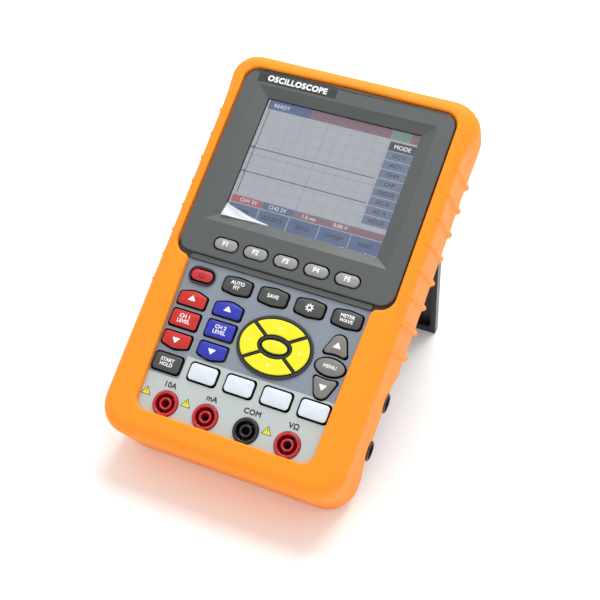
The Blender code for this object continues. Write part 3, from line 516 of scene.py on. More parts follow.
def pad_segment(quarter, grow):
    """One of the four ring segments of the direction pad: 0 right, 1 up, 2 left, 3 down."""
    outer = (PAD_OUTER[0] + grow, PAD_OUTER[1] + grow)
    inner = (PAD_INNER[0] - grow, PAD_INNER[1] - grow)
    clearance = PAD_WEB_HALF - grow
    web = PAD_WEB_ANGLE
    edges = [-web, web, math.pi - web, math.pi + web, 2 * math.pi - web]
    low, high = edges[quarter], edges[quarter + 1]

    def crossing(radii, angle, side):
        """The ellipse's parameter where it is the clearance away from the web's centre line."""
        normal = Vector((-math.sin(angle), math.cos(angle))) * side
        on_line = math.atan2(math.sin(angle) / radii[1], math.cos(angle) / radii[0])
        near, far = angle + math.remainder(on_line - angle, 2 * math.pi), (low + high) / 2
        for _ in range(40):
            middle = (near + far) / 2
            reach = Vector((radii[0] * math.cos(middle), radii[1] * math.sin(middle))).dot(normal)
            near, far = (middle, far) if reach < clearance else (near, middle)
        return (near + far) / 2

    points = []
    for radii, first, last in ((outer, low, high), (inner, high, low)):
        start = crossing(radii, first, 1 if first == low else -1)
        end = crossing(radii, last, -1 if last == high else 1)
        steps = 24 if radii is outer else 16
        for step in range(steps + 1):
            angle = start + (end - start) * step / steps
            points.append((radii[0] * math.cos(angle), radii[1] * math.sin(angle)))
    return points


def case_outline(grow):
    half = CASE_HALF + grow
    top = CASE_TOP + grow
    bottom = CASE_BOTTOM - grow
    corner = CASE_CORNER + grow
    corners = [(-half, bottom, corner), (half, bottom, corner), (half, top - BEZEL_ARCH, corner)]
    corners += [(0, top, 0.3), (-half, top - BEZEL_ARCH, corner)]
    return rounded(corners, 10)


def front_opening(grow):
    """The holster's front opening: wide round the display, a soft shoulder, narrow round the keypad."""
    half = CASE_HALF + FRONT_GAP + grow
    top = CASE_TOP + FRONT_GAP + grow
    side = [(0.0411 + grow, 0.0123 - grow, 0.005 + grow), (0.0436 + grow, 0.0836 - grow, 0.003 - grow)]
    side += [(half, 0.0850 - grow, 0.0068 + grow), (half, top - BEZEL_ARCH, 0.007 + grow)]
    mirrored = [(-x, y, radius) for x, y, radius in reversed(side)]
    return rounded(side + [(0, top, 0.3)] + mirrored, 10)


def holster_outline(inset):
    low, high = HALF_BOTTOM - inset, HALF_TOP - inset
    corners = [(-low, inset, BOTTOM_CORNER - inset), (low, inset, BOTTOM_CORNER - inset)]
    top = HOLSTER_LENGTH - inset
    corners += [(high, top, TOP_CORNER - inset), (-high, top, TOP_CORNER - inset)]
    return rounded(corners, 16)


# Shaping -----------------------------------------------------------------------------------------

def take(piece):
    """Makes one piece the only one selected, and the active one."""
    bpy.ops.object.select_all(action="DESELECT")
    piece.select_set(True)
    bpy.context.view_layer.objects.active = piece
    return piece


def weld(piece, distance=0.000002, outward=True):
    """Merges doubled points of a piece and turns its faces outwards."""
    take(piece)
    bpy.ops.object.mode_set(mode="EDIT")
    bpy.ops.mesh.select_all(action="SELECT")
    bpy.ops.mesh.remove_doubles(threshold=distance)
    if outward:
        bpy.ops.mesh.normals_make_consistent(inside=False)
    bpy.ops.object.mode_set(mode="OBJECT")
    return piece


def shift(piece, x=0.0, y=0.0, z=0.0, turn=None):
    """Moves a piece's mesh, after an optional turn."""
    if turn is not None:
        piece.data.transform(turn)
    piece.data.transform(Matrix.Translation((x, y, z)))
    return piece


def deselect_mesh(mesh):
    for part in (mesh.vertices, mesh.edges, mesh.polygons):
        for item in part:
            item.select = False


def select_edges(piece, chosen):
    """Selects the edges whose two ends pass a test, and nothing else."""
    mesh = piece.data
    deselect_mesh(mesh)
    for edge in mesh.edges:
        edge.select = all(chosen(mesh.vertices[v].co) for v in edge.vertices)


def soften(piece, chosen, width, steps=3):
    """Rounds the chosen edges."""
    take(piece)
    select_edges(piece, chosen)
    bpy.ops.object.mode_set(mode="EDIT")
    bpy.ops.mesh.select_mode(type="EDGE")
    bpy.ops.mesh.bevel(offset=width, segments=steps, profile=0.5, affect="EDGES")
    bpy.ops.object.mode_set(mode="OBJECT")
    return piece


def slab(name, outlines, low, high, edge=0.0, steps=3):
    """A flat piece from Z low to high. Outlines after the first are holes, or islands beside it."""
    curve = bpy.data.curves.new(name, "CURVE")
    curve.dimensions = "2D"
    curve.fill_mode = "BOTH"
    curve.extrude = (high - low) / 2
    for outline in outlines:
        spline = curve.splines.new("POLY")
        spline.points.add(len(outline) - 1)
        for point, (x, y) in zip(spline.points, outline):
            point.co = (x, y, 0, 1)
        spline.use_cyclic_u = True
    piece = bpy.data.objects.new(name, curve)
    bpy.context.scene.collection.objects.link(piece)
    take(piece)
    bpy.ops.object.convert(target="MESH")
    piece = bpy.context.object
    weld(piece)
    if len(outlines) == 1:
        bpy.ops.object.mode_set(mode="EDIT")
        bpy.ops.mesh.select_all(action="SELECT")
        bpy.ops.mesh.dissolve_limited(angle_limit=0.0005)
        bpy.ops.object.mode_set(mode="OBJECT")
    shift(piece, z=(low + high) / 2)
    if edge:
        soften(piece, lambda co: co.z > high - 0.00001, edge, steps)
    return piece


def skin(name, rings, loop=False):
    """A surface through rings of points, each ring closed; with loop, the last ring meets the first.
    A ring whose points all coincide closes an end."""
    rows = rings + rings[:1] if loop else rings
    columns = len(rings[0])
    bpy.ops.mesh.primitive_grid_add(x_subdivisions=columns, y_subdivisions=len(rows) - 1, size=1)
    piece = bpy.context.object
    piece.name = name
    flat = [value for ring in rows for point in (*ring, ring[0]) for value in point]
    piece.data.vertices.foreach_set("co", flat)
    piece.data.update()
    return weld(piece)


def turned(name, profile, sides=48):
    """A turned piece about Z, from a chain of (radius, z) that starts and ends on the axis."""
    turn = 2 * math.pi / sides
    rings = [[(r * math.cos(i * turn), r * math.sin(i * turn), z) for i in range(sides)] for r, z in profile]
    return skin(name, rings)


def eased(profile, radius):
    """A chain of (radius, z) with each inner corner rounded off."""
    steps = 3
    points = [profile[0]]
    for before, corner, after in zip(profile, profile[1:], profile[2:]):
        a = Vector(before) - Vector(corner)
        b = Vector(after) - Vector(corner)
        cut = min(radius, a.length / 2.2, b.length / 2.2)
        start, end = a.normalized() * cut, b.normalized() * cut
        for step in range(steps + 1):
            share = step / steps
            bend = start * (1 - share) ** 2 + end * share ** 2
            points.append((corner[0] + bend.x, corner[1] + bend.y))
    points.append(profile[-1])
    return points


def carve(piece, tool, operation="DIFFERENCE"):
    """Cuts a tool out of a piece, or joins it on."""
    modifier = piece.modifiers.new("carve", "BOOLEAN")
    modifier.operation = operation
    modifier.object = tool
    modifier.solver = "EXACT"
    take(piece)
    bpy.ops.object.modifier_apply(modifier="carve")
    bpy.data.objects.remove(tool)
    return piece


def chamfered(piece, width):
    """Rounds every sharp edge of a finished piece a little."""
    modifier = piece.modifiers.new("edges", "BEVEL")
    modifier.width = width
    modifier.segments = 2
    modifier.limit_method = "ANGLE"
    modifier.angle_limit = math.radians(32)
    modifier.miter_outer = "MITER_ARC"
    take(piece)
    bpy.ops.object.modifier_apply(modifier="edges")
    return piece


def settle(piece, finish, body="instrument", stands_for=(), angle=35, even=True):
    """Leans a finished piece back with the instrument, gives it its finish and hangs it on a body."""
    piece.data.transform(TO_WORLD @ piece.matrix_world)
    piece.matrix_world = Matrix.Identity(4)
    piece.data.materials.clear()
    piece.data.materials.append(FINISH[finish])
    take(piece)
    bpy.ops.object.shade_smooth_by_angle(angle=math.radians(angle))
    if even:
        shading = piece.modifiers.new("shading", "WEIGHTED_NORMAL")
        shading.keep_sharp = True
        bpy.ops.object.modifier_apply(modifier="shading")
    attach(piece, body)
    if stands_for:
        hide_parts(*stands_for)
    return piece


def lettering(name, words, spot, size, finish, z, body="instrument", bold=0.0, on=None, spacing=1.0,
              line=0.9):
    """Raised print on a face: flat at height z, or laid onto the top of another piece."""
    bpy.ops.object.select_all(action="DESELECT")
    bpy.ops.object.text_add()
    text = bpy.context.object
    text.name = name
    text.data.body = words
    text.data.align_x = "CENTER"
    text.data.align_y = "CENTER"
    text.data.size = size
    text.data.space_line = line
    text.data.space_character = spacing
    text.data.resolution_u = 3
    bpy.ops.object.convert(target="MESH")
    piece = weld(bpy.context.object, outward=False)
    return print_on(shift(piece, *spot, z), finish, body, on, bold)


def overprint(piece, bold):
    """Thicker strokes: the letters printed again a little to the side and up, each a hair below."""
    take(piece)
    for number, (x, y) in enumerate(((bold, 0), (0, bold))):
        again = piece.modifiers.new("again", "ARRAY")
        again.count = 2
        again.use_relative_offset = False
        again.use_constant_offset = True
        again.constant_offset_displace = (x, y, -0.000002 * (number + 1))
        bpy.ops.object.modifier_apply(modifier="again")
    shift(piece, -bold / 2, -bold / 2)


def print_on(piece, finish, body="instrument", on=None, bold=0.0):
    """Gives a flat mark its thickness, laid onto the top of another piece if one is given."""
    take(piece)
    if on:
        bpy.ops.object.mode_set(mode="EDIT")
        bpy.ops.mesh.select_all(action="SELECT")
        bpy.ops.mesh.quads_convert_to_tris()
        bpy.ops.mesh.subdivide(number_cuts=1)
        bpy.ops.object.mode_set(mode="OBJECT")
        wrap = piece.modifiers.new("lay", "SHRINKWRAP")
        wrap.wrap_method = "PROJECT"
        wrap.use_project_z = True
        wrap.use_negative_direction = True
        wrap.use_positive_direction = True
        wrap.target = on
        bpy.ops.object.modifier_apply(modifier="lay")
        shift(piece, z=0.00003)
    if bold:
        overprint(piece, bold)
    wall = piece.modifiers.new("thickness", "SOLIDIFY")
    wall.thickness = PRINT_THICKNESS
    wall.offset = 0
    bpy.ops.object.modifier_apply(modifier="thickness")
    weld(piece, 0.0000005)
    return settle(piece, finish, body, even=False)


def flat_mark(name, outlines, z):
    """A flat printed shape with no thickness yet, from outlines and their holes."""
    piece = slab(name, outlines, z - 0.0001, z)
    mesh = piece.data
    deselect_mesh(mesh)
    for face in mesh.polygons:
        face.select = face.normal.z < 0.9
    bpy.ops.object.mode_set(mode="EDIT")
    bpy.ops.mesh.select_mode(type="FACE")
    bpy.ops.mesh.delete(type="FACE")
    bpy.ops.object.mode_set(mode="OBJECT")
    return piece


# Holster -----------------------------------------------------------------------------------------

HOLSTER_MIDDLE = Vector((0, 0.095))


def bearing(point):
    return math.atan2(point[1] - HOLSTER_MIDDLE.y, point[0] - HOLSTER_MIDDLE.x)


def dense_wall():
    """Points along the two side walls, close together where the ribs are."""
    points = []
    lowest, highest = RIB_TOP - RIB_COUNT * RIB_PITCH, RIB_TOP + 0.010
    y = BOTTOM_CORNER
    while y < HOLSTER_LENGTH - TOP_CORNER:
        x = HALF_BOTTOM + (HALF_TOP - HALF_BOTTOM) * y / HOLSTER_LENGTH
        points += [(x, y), (-x, y)]
        y += 0.00042 if lowest < y < highest else 0.0020
    return points


def holster_bearings():
    """The directions from the middle in which every ring of the holster has a point."""
    points = holster_outline(0) + front_opening(0) + case_outline(CAVITY_GAP) + box_outline(*BACK_WINDOW)
    points += dense_wall()
    points += [(0.004 * step, y) for step in range(-10, 11) for y in (0, HOLSTER_LENGTH)]
    kept = []
    for angle in sorted(bearing(point) for point in points):
        if not kept or angle - kept[-1] > 0.0011:
            kept.append(angle)
    return kept


BEARINGS = holster_bearings()


def around(outline):
    """How far the outline is from the middle along each of the holster's directions."""
    polar = sorted((bearing(point), Vector(point) - HOLSTER_MIDDLE) for point in outline)
    angles = [angle for angle, point in polar]
    found = []
    for angle in BEARINGS:
        after = bisect.bisect_left(angles, angle) % len(polar)
        a, b = polar[after - 1][1], polar[after][1]
        along = Vector((math.cos(angle), math.sin(angle)))
        edge = b - a
        found.append((a.x * edge.y - a.y * edge.x) / (along.x * edge.y - along.y * edge.x))
    return found


def rib_height(x, y, z):
    """How far the grip ribs raise the wall: slanting ridges, thin at the front edge, rounded behind."""
    back = RIB_FRONT - z
    if abs(x) < 0.050 or back < 0 or z < 0.0008:
        return 0.0
    lead = min(1.0, back / RIB_LEAD)
    half_width = RIB_HALF_WIDTH * (0.42 + 0.58 * lead)
    highest = 0.0
    for number in range(RIB_COUNT):
        centre = RIB_TOP - number * RIB_PITCH + (back - 0.0035) * math.tan(RIB_RISE)
        offset = (y - centre) / half_width
        if abs(offset) < 1:
            highest = max(highest, (1 - offset * offset) ** 0.6)
        elif 0 < offset < 3.4:
            highest = max(highest, 0.10 * (1 - (offset - 1) / 2.4))
    return RIB_PROUD * highest * (0.20 + 0.80 * lead ** 1.3) * min(1.0, back / 0.0006)


def eased_step(value, start, end):
    """0 at the start, 1 at the end, with a smooth rise between."""
    share = min(1.0, max(0.0, (value - start) / (end - start)))
    return share * share * (3 - 2 * share)


def corner_swell(x, y, z):
    """The walls swell sideways at the two upper corners, most of all a little behind the front."""
    corner = eased_step(y, 0.160, 0.182) * eased_step(abs(x), 0.036, 0.054)
    depth = eased_step(z, -0.002, 0.020) * eased_step(-z, -0.0395, -0.030)
    return math.copysign(CORNER_SWELL * corner * depth, x)


def holster_rings():
    """The holster's section, ring by ring: over the back, round the outside, over the front lip and
    back inside the cavity."""
    def ring(reaches, heights):
        points = []
        for angle, reach, z in zip(BEARINGS, reaches, heights):
            points.append((reach * math.cos(angle), HOLSTER_MIDDLE.y + reach * math.sin(angle), z))
        return points

    def level(outline, z):
        return ring(around(outline), [z] * len(BEARINGS))

    def ribbed(points, slope):
        """Ribs raise the points along the wall's outward normal, which leans forward by the slope."""
        raised = []
        for x, y, z in points:
            height = rib_height(x, y, z)
            side = math.copysign(height * math.cos(slope), x) + corner_swell(x, y, z)
            raised.append((x + side, y, z + height * math.sin(slope)))
        return raised

    half_x, half_y, corner, centre = BACK_WINDOW
    edge = 0.0006
    rings = [level(box_outline(half_x, half_y, corner, centre), edge)]
    for step in range(1, 4):
        turn = math.pi / 2 * step / 3
        grow = edge * (1 - math.cos(turn))
        outline = box_outline(half_x + grow, half_y + grow, corner + grow, centre)
        rings.append(level(outline, edge * (1 - math.sin(turn))))
    for step in range(7):
        turn = math.pi / 2 * step / 6
        inset = BACK_ROUND * (1 - math.sin(turn))
        points = level(holster_outline(inset), BACK_ROUND * (1 - math.cos(turn)))
        rings.append(ribbed(points, 0))
    wall_top = HOLSTER_DEPTH - FRONT_ROUND
    wall_steps = 26
    for step in range(1, wall_steps + 1):
        z = BACK_ROUND + (wall_top - BACK_ROUND) * step / wall_steps
        rings.append(ribbed(level(holster_outline(0), z), 0))
    outer = around(holster_outline(0))
    full = around(holster_outline(FRONT_ROUND))
    lip = around(front_opening(LIP_ROUND))
    end = [max(a, b) for a, b in zip(full, lip)]
    lip_height = []
    front_steps = 16
    for step in range(1, front_steps + 1):
        share = 1 - math.cos(math.pi / 2 * step / front_steps)
        reaches = [a - (a - b) * share for a, b in zip(outer, end)]
        depths = [FRONT_ROUND * (a - r) / (a - f) for a, r, f in zip(outer, reaches, full)]
        heights = [wall_top + math.sqrt(max(0, FRONT_ROUND ** 2 - (FRONT_ROUND - d) ** 2)) for d in depths]
        rings.append(ribbed(ring(reaches, heights), math.pi / 4 * step / front_steps))
        lip_height = heights
    for share in (0.25, 0.5, 0.75, 1.0):
        reaches = [a - (a - b) * share for a, b in zip(end, lip)]
        rings.append(ring(reaches, lip_height))
    for step in range(1, 6):
        turn = math.pi / 2 * step / 5
        heights = [h - LIP_ROUND * (1 - math.cos(turn)) for h in lip_height]
        rings.append(ring(around(front_opening(LIP_ROUND * (1 - math.sin(turn)))), heights))
    rings.append(level(front_opening(0), LIP_UNDER))
    rings.append(level(case_outline(CAVITY_GAP), LIP_UNDER))
    for step in range(1, 6):
        rings.append(level(case_outline(CAVITY_GAP), LIP_UNDER + (BACK_LIP - LIP_UNDER) * step / 5))
    rings.append(level(box_outline(*BACK_WINDOW), BACK_LIP))
    return rings


def holster():
    body = skin("rubber_holster", holster_rings(), loop=True)
    notch = slab("bnc_notch", [rounded(BNC_NOTCH)], *BNC_NOTCH_X)
    carve(body, shift(notch, turn=SIDEWAYS))
    for number, y in enumerate(BNC_Y):
        radius = BNC_RADIUS + BNC_RELIEF
        relief = [(0, 0.0080), (radius, 0.0080), (radius, -0.0080), (0, -0.0080)]
        hole = turned(f"bnc_relief_{number}", relief, 64)
        carve(body, shift(hole, 0.0590, y, BNC_Z, turn=ALONG_X))
    window = slab("holster_window", [box_outline(*PORT_WINDOW)], *PORT_WINDOW_X)
    carve(body, shift(window, turn=SIDEWAYS))
    settle(body, "holster_rubber", stands_for=["holster"], angle=50, even=False)
    for vertex in body.data.vertices:
        vertex.co.z = max(vertex.co.z, 0.0)


# Case --------------------------------------------------------------------------------------------

def window_bevel():
    """A cutter for the sloped sides of the display window, carried a little above the bezel."""
    above = 0.001
    slope = (BEZEL_TOP + above - WINDOW_FLOOR) / (BEZEL_TOP - WINDOW_FLOOR)
    bpy.ops.object.select_all(action="DESELECT")
    bpy.ops.mesh.primitive_cube_add(size=1)
    piece = bpy.context.object
    for vertex in piece.data.vertices:
        upper = vertex.co.z > 0
        spans = zip(WINDOW_HALF, WINDOW_OUTER_HALF)
        half = [inner + (outer - inner) * slope * upper for inner, outer in spans]
        vertex.co.x = math.copysign(half[0], vertex.co.x)
        vertex.co.y = math.copysign(half[1], vertex.co.y)
        vertex.co.z = BEZEL_TOP + above if upper else WINDOW_FLOOR
    return shift(piece, y=SCREEN_Y)


def jack_places():
    return [(number - 1.5) * JACK_PITCH for number in range(4)]


def key_outlines():
    """Every key: name -> (outline about its own middle, middle on the face, finish, top height)."""
    def barrel(bottom_bulge, top_bulge, half_x=0.0069, half_y=0.0041, radius=0.0014):
        corners = [(-half_x, -half_y + bottom_bulge, radius)]
        if bottom_bulge:
            corners.append((0, -half_y, 0.010))
        corners += [(half_x, -half_y + bottom_bulge, radius), (half_x, half_y - top_bulge, radius)]
        if top_bulge:
            corners.append((0, half_y, 0.010))
        corners.append((-half_x, half_y - top_bulge, radius))
        return rounded(corners, 8)

    def arrowhead(sign):
        corners = [(-0.0062, -0.0050, 0.0013), (0, -0.0041, 0.010), (0.0062, -0.0050, 0.0013)]
        corners += [(0.0025, 0.0050, 0.0034), (-0.0025, 0.0050, 0.0034)]
        if sign < 0:
            corners = [(x, -y, radius) for x, y, radius in reversed(corners)]
        return rounded(corners, 8)

    keys = {}
    stadium = box_outline(0.00575, 0.0029, 0.0028, segments=10)
    for number in range(5):
        middle = ((number - 2) * F_KEY_PITCH, F_KEY_Y)
        keys[f"key_f{number + 1}"] = (stadium, middle, "key_grey", F_KEY_TOP)
    power = box_outline(0.0056, 0.00295, 0.0028, segments=10)
    keys["key_power"] = (power, (KEY_COLUMNS[0], ROW_TOP_Y), "key_power", KEY_TOP)
    for name, column in zip(("auto", "save", "light", "mode"), KEY_COLUMNS[1:]):
        outline = barrel(0.0009, 0.0009, half_y=0.00425, radius=0.0019)
        keys[f"key_{name}"] = (outline, (column, ROW_TOP_Y), "key_dark", KEY_TOP)
    for colour, column in (("red", KEY_COLUMNS[0]), ("blue", KEY_COLUMNS[1])):
        shapes = (("up", barrel(0, 0.0021)), ("middle", barrel(0, 0)), ("down", barrel(0.0019, 0)))
        for (name, outline), row in zip(shapes, ROW_RED_Y):
            keys[f"key_{colour}_{name}"] = (outline, (column, row), f"key_{colour}", KEY_TOP)
    low = box_outline(0.0068, 0.0042, 0.0018)
    keys["key_run"] = (low, (KEY_COLUMNS[0], ROW_LOW_Y), "key_dark", KEY_TOP)
    for number, column in enumerate(KEY_COLUMNS[1:]):
        keys[f"key_white_{number + 1}"] = (low, (column, ROW_LOW_Y), "key_white", KEY_TOP)
    keys["key_scroll_up"] = (arrowhead(1), (RIGHT_COLUMN, SCROLL_Y[1]), "key_mid", KEY_TOP)
    keys["key_menu"] = (ellipse((0.0070, 0.00415)), (RIGHT_COLUMN, MENU_Y), "key_mid", KEY_TOP)
    keys["key_scroll_down"] = (arrowhead(-1), (RIGHT_COLUMN, SCROLL_Y[0]), "key_mid", KEY_TOP)
    return keys


KEYS = key_outlines()


def front_case():
    case = slab("front_shell", [case_outline(0)], PARTING + GAP, DECK_TOP)
    half = CASE_HALF
    corners = [(-half, BEZEL_BOTTOM_Y, 0.0065), (half, BEZEL_BOTTOM_Y, 0.0065)]
    shoulder = CASE_TOP - BEZEL_ARCH
    corners += [(half, shoulder, CASE_CORNER), (0, CASE_TOP, 0.3), (-half, shoulder, CASE_CORNER)]
    carve(case, slab("bezel", [rounded(corners, 12)], DECK_TOP - 0.0010, BEZEL_TOP, 0.0007, 4), "UNION")
    ledge = rectangle(-0.0430, LEDGE_BOTTOM_Y, 0.0430, BEZEL_BOTTOM_Y + 0.002)
    carve(case, slab("ledge", [ledge], DECK_TOP - 0.0008, LEDGE_TOP), "UNION")
    groove = rectangle(-0.0460, BEZEL_BOTTOM_Y - 0.0004, 0.0460, BEZEL_BOTTOM_Y)
    carve(case, slab("groove", [groove], DECK_TOP, LEDGE_TOP + 0.001))
    carve(case, slab("front_pocket", [case_outline(-WALL)], PARTING - 0.001, DECK_UNDER))
    for number, spot in enumerate(BOSSES):
        post = turned(f"boss_{number}", [(0, 0.0350), (0.0035, 0.0350), (0.0035, 0.0058), (0, 0.0058)], 24)
        carve(case, shift(post, *spot), "UNION")
        pilot = turned(f"pilot_{number}", [(0, 0.0180), (0.0018, 0.0180), (0.0018, 0.0040), (0, 0.0040)], 16)
        carve(case, shift(pilot, *spot))
    carve(case, window_bevel())
    through = DECK_UNDER - 0.001
    window = moved(rectangle(-WINDOW_HALF[0], -WINDOW_HALF[1], *WINDOW_HALF), (0, SCREEN_Y))
    carve(case, slab("window", [window], through, WINDOW_FLOOR + 0.0005))
    holes = []
    for number in range(5):
        outline, middle = KEYS[f"key_f{number + 1}"][:2]
        holes.append(moved(resized(outline, HOLE_GROW), middle))
    carve(case, slab("f_holes", holes, through, BEZEL_TOP + 0.001))
    carve(case, slab("deck_holes", key_windows(), through, DECK_TOP + 0.001))
    jack_holes = [moved(circle(JACK_RADIUS + GAP), (x, JACK_Y)) for x in jack_places()]
    carve(case, slab("jack_holes", jack_holes, through, DECK_TOP + 0.001))
    chamfered(case, 0.00012)
    settle(case, "case_plastic", stands_for=["front_case"], angle=14)
    paint_window_wall_shade(case)


def key_windows():
    """Square-cornered windows in the deck under the keys, and an oval one under the direction pad."""
    grow = HOLE_GROW
    spans = []
    for outline, (x, y), _, top in KEYS.values():
        half_x = max(u for u, v in outline) + grow
        half_y = max(v for u, v in outline) + grow
        if top != F_KEY_TOP and (x < RIGHT_COLUMN - 0.001 or y in (ROW_TOP_Y, ROW_LOW_Y)):
            spans.append((x - half_x, y - half_y, x + half_x, y + half_y))
    menu_half = 0.0070 + grow
    arrow_half = 0.0050 + grow
    low, high = SCROLL_Y[0] - arrow_half, SCROLL_Y[1] + arrow_half
    spans.append((RIGHT_COLUMN - menu_half, low, RIGHT_COLUMN + menu_half, high))
    windows = [rectangle(*span) for span in spans]
    windows.append(moved(ellipse((PAD_OUTER[0] + grow, PAD_OUTER[1] + grow)), PAD_CENTRE))
    return windows


def paint_window_wall_shade(case):
    """The upright walls round the display are painted near-black: a painted shade for the shadow inside the
    window's recess.
    """
    case.data.materials.append(FINISH["window_wall_shade"])
    back = TO_WORLD.inverted()
    margin = 0.0002
    for face in case.data.polygons:
        spot = back @ face.center
        off_x, off_y = abs(spot.x), abs(spot.y - SCREEN_Y)
        inside = off_x < WINDOW_HALF[0] + margin and off_y < WINDOW_HALF[1] + margin
        if inside and spot.z < WINDOW_FLOOR + 0.00012:
            face.material_index = 1


def keypad_panel():
    low_y, high_y = 0.0090, LEDGE_BOTTOM_Y - GAP
    outline = box_outline(PANEL_HALF, (high_y - low_y) / 2, 0.0015, (0, (low_y + high_y) / 2))
    holes = [moved(resized(shape, HOLE_GROW), middle)
             for shape, middle, _, top in KEYS.values() if top != F_KEY_TOP]
    holes.append(moved(ellipse((PAD_OUTER[0] + HOLE_GROW, PAD_OUTER[1] + HOLE_GROW)), PAD_CENTRE))
    holes += [moved(circle(JACK_RADIUS + GAP), (x, JACK_Y)) for x in jack_places()]
    panel = slab("keypad_film", [outline, *holes], PANEL_LOW, PANEL_TOP)
    settle(panel, "panel_film", stands_for=["keypad_panel"], angle=30)


def trim_rings():
    ring = slab("pad_ring", [ellipse(PAD_RING, 96)], PANEL_TOP + GAP, RING_TOP, 0.00045)
    cutter = [pad_segment(quarter, CAP_SHRINK) for quarter in range(4)]
    cutter.append(ellipse((PAD_BUTTON[0] + CAP_SHRINK, PAD_BUTTON[1] + CAP_SHRINK)))
    carve(ring, slab("pad_holes", cutter, PANEL_TOP - 0.001, RING_TOP + 0.001))
    shift(ring, *PAD_CENTRE)
    settle(ring, "ring_dark", stands_for=["direction_pad_ring"])
    outline, middle = KEYS["key_power"][:2]
    oval = box_outline(0.0064, 0.00425, 0.0041, segments=12)
    ring = slab("power_key_ring", [oval], PANEL_TOP + GAP, RING_TOP, 0.0003)
    carve(ring, slab("power_hole", [resized(outline, HOLE_GROW)], PANEL_TOP - 0.001, RING_TOP + 0.001))
    shift(ring, *middle)
    settle(ring, "ring_dark", stands_for=["power_ring"])


# Keys --------------------------------------------------------------------------------------------

def domed_cap(name, outline, top):
    """A key: straight sides, a rounded edge and a slightly domed top that closes at its middle."""
    def ring(inset, z, scale=1.0):
        return [(x * scale, y * scale, z) for x, y in resized(outline, -inset)]

    shoulder = top - CAP_DOME
    rings = [[(0, 0, KEY_BASE)] * len(outline), ring(CAP_SHRINK, KEY_BASE)]
    rings.append(ring(CAP_SHRINK, shoulder - CAP_EDGE))
    for step in range(1, 6):
        turn = math.pi / 2 * step / 5
        inset = CAP_SHRINK + CAP_EDGE * (1 - math.cos(turn))
        rings.append(ring(inset, shoulder - CAP_EDGE + CAP_EDGE * math.sin(turn)))
    for step in range(1, 8):
        scale = 1 - step / 7
        rings.append(ring(CAP_SHRINK + CAP_EDGE, shoulder + CAP_DOME * (1 - scale * scale), scale))
    return skin(name, rings)


def pad_cap(name, quarter):
    """A segment of the direction pad: straight sides, a rounded edge and a flat top."""
    def ring(inset, z):
        return [(x, y, z) for x, y in pad_segment(quarter, -inset)]

    rings = [ring(0, KEY_BASE), ring(0, KEY_TOP - CAP_EDGE)]
    for step in range(1, 7):
        turn = math.pi / 2 * step / 6
        rings.append(ring(CAP_EDGE * (1 - math.cos(turn)), KEY_TOP - CAP_EDGE * (1 - math.sin(turn))))
    cap = skin(name, rings)
    bpy.ops.object.mode_set(mode="EDIT")
    bpy.ops.mesh.select_all(action="SELECT")
    bpy.ops.mesh.fill_holes(sides=0)
    bpy.ops.object.mode_set(mode="OBJECT")
    return weld(cap)


def paint_walls(cap, below):
    """Faces of a cap lower than the given height, its sides and the lower part of its rounded edge, get the
    near-black key_wall finish.
    """
    cap.data.materials.append(FINISH["key_wall"])
    back = TO_WORLD.inverted()
    for face in cap.data.polygons:
        if (back @ face.center).z < below:
            face.material_index = 1


def chevron(sign, half=0.0019, height=0.0026):
    """A small solid triangle that points up the face, or down it."""
    base = -sign * height / 2
    corners = [(-half, base, 0.0002), (half, base, 0.0002), (0, sign * height / 2, 0.0002)]
    return rounded(corners if sign > 0 else corners[::-1], 3)


def arc_band(radius, width, start, end):
    """A band that follows part of a circle."""
    steps = 20
    outer = [(radius + width / 2, start + (end - start) * i / steps) for i in range(steps + 1)]
    inner = [(radius - width / 2, a) for r, a in reversed(outer)]
    return [(r * math.cos(a), r * math.sin(a)) for r, a in outer + inner]


def sun_mark():
    rays = []
    box = rectangle(0.00110, -0.00026, 0.00190, 0.00026)
    for number in range(8):
        angle = number * math.pi / 4
        across, up = math.cos(angle), math.sin(angle)
        rays.append([(x * across - y * up, x * up + y * across) for x, y in box])
    return [circle(0.00128, 24), circle(0.00068, 24)], rays


def power_mark():
    quarter = math.pi / 2
    arc = arc_band(0.00115, 0.00032, quarter + 0.55, quarter + 2 * math.pi - 0.55)
    return [arc, rectangle(-0.00016, 0.0001, 0.00016, 0.0016)]


LEGENDS = {
    "key_auto": ("AUTO\nFIT", 0.0023), "key_save": ("SAVE", 0.0024), "key_mode": ("METER\nWAVE", 0.0022),
    "key_run": ("START\nHOLD", 0.0022), "key_menu": ("MENU", 0.0022),
    "key_red_middle": ("CH 1\nLEVEL", 0.0024), "key_blue_middle": ("CH 2\nLEVEL", 0.0024),
}
MARKS = {
    "key_red_up": chevron(1), "key_red_down": chevron(-1),
    "key_blue_up": chevron(1), "key_blue_down": chevron(-1),
    "key_scroll_up": chevron(1, 0.0019, 0.0028), "key_scroll_down": chevron(-1, 0.0019, 0.0028),
}


def key_legend(name, cap):
    z = KEY_TOP + 0.002
    middle = KEYS[name][1]
    if name.startswith("key_f"):
        label = name[4:].upper()
        lettering(name + "_legend", label, middle, 0.0031, "legend_white", z, name, 0.00022, cap)
    elif name in LEGENDS:
        words, size = LEGENDS[name]
        lettering(name + "_legend", words, middle, size, "legend_white", z, name, 0.00012, cap, line=0.95)
    elif name in MARKS:
        print_on(shift(flat_mark(name + "_mark", [MARKS[name]], z), *middle), "legend_white", name, cap)
    elif name == "key_light":
        disc, rays = sun_mark()
        print_on(shift(flat_mark(name + "_disc", disc, z), *middle), "legend_white", name, cap)
        print_on(shift(flat_mark(name + "_rays", rays, z - 0.00001), *middle), "legend_white", name, cap)
    elif name == "key_power":
        print_on(shift(flat_mark(name + "_mark", power_mark(), z), *middle), "legend_red", name, cap)


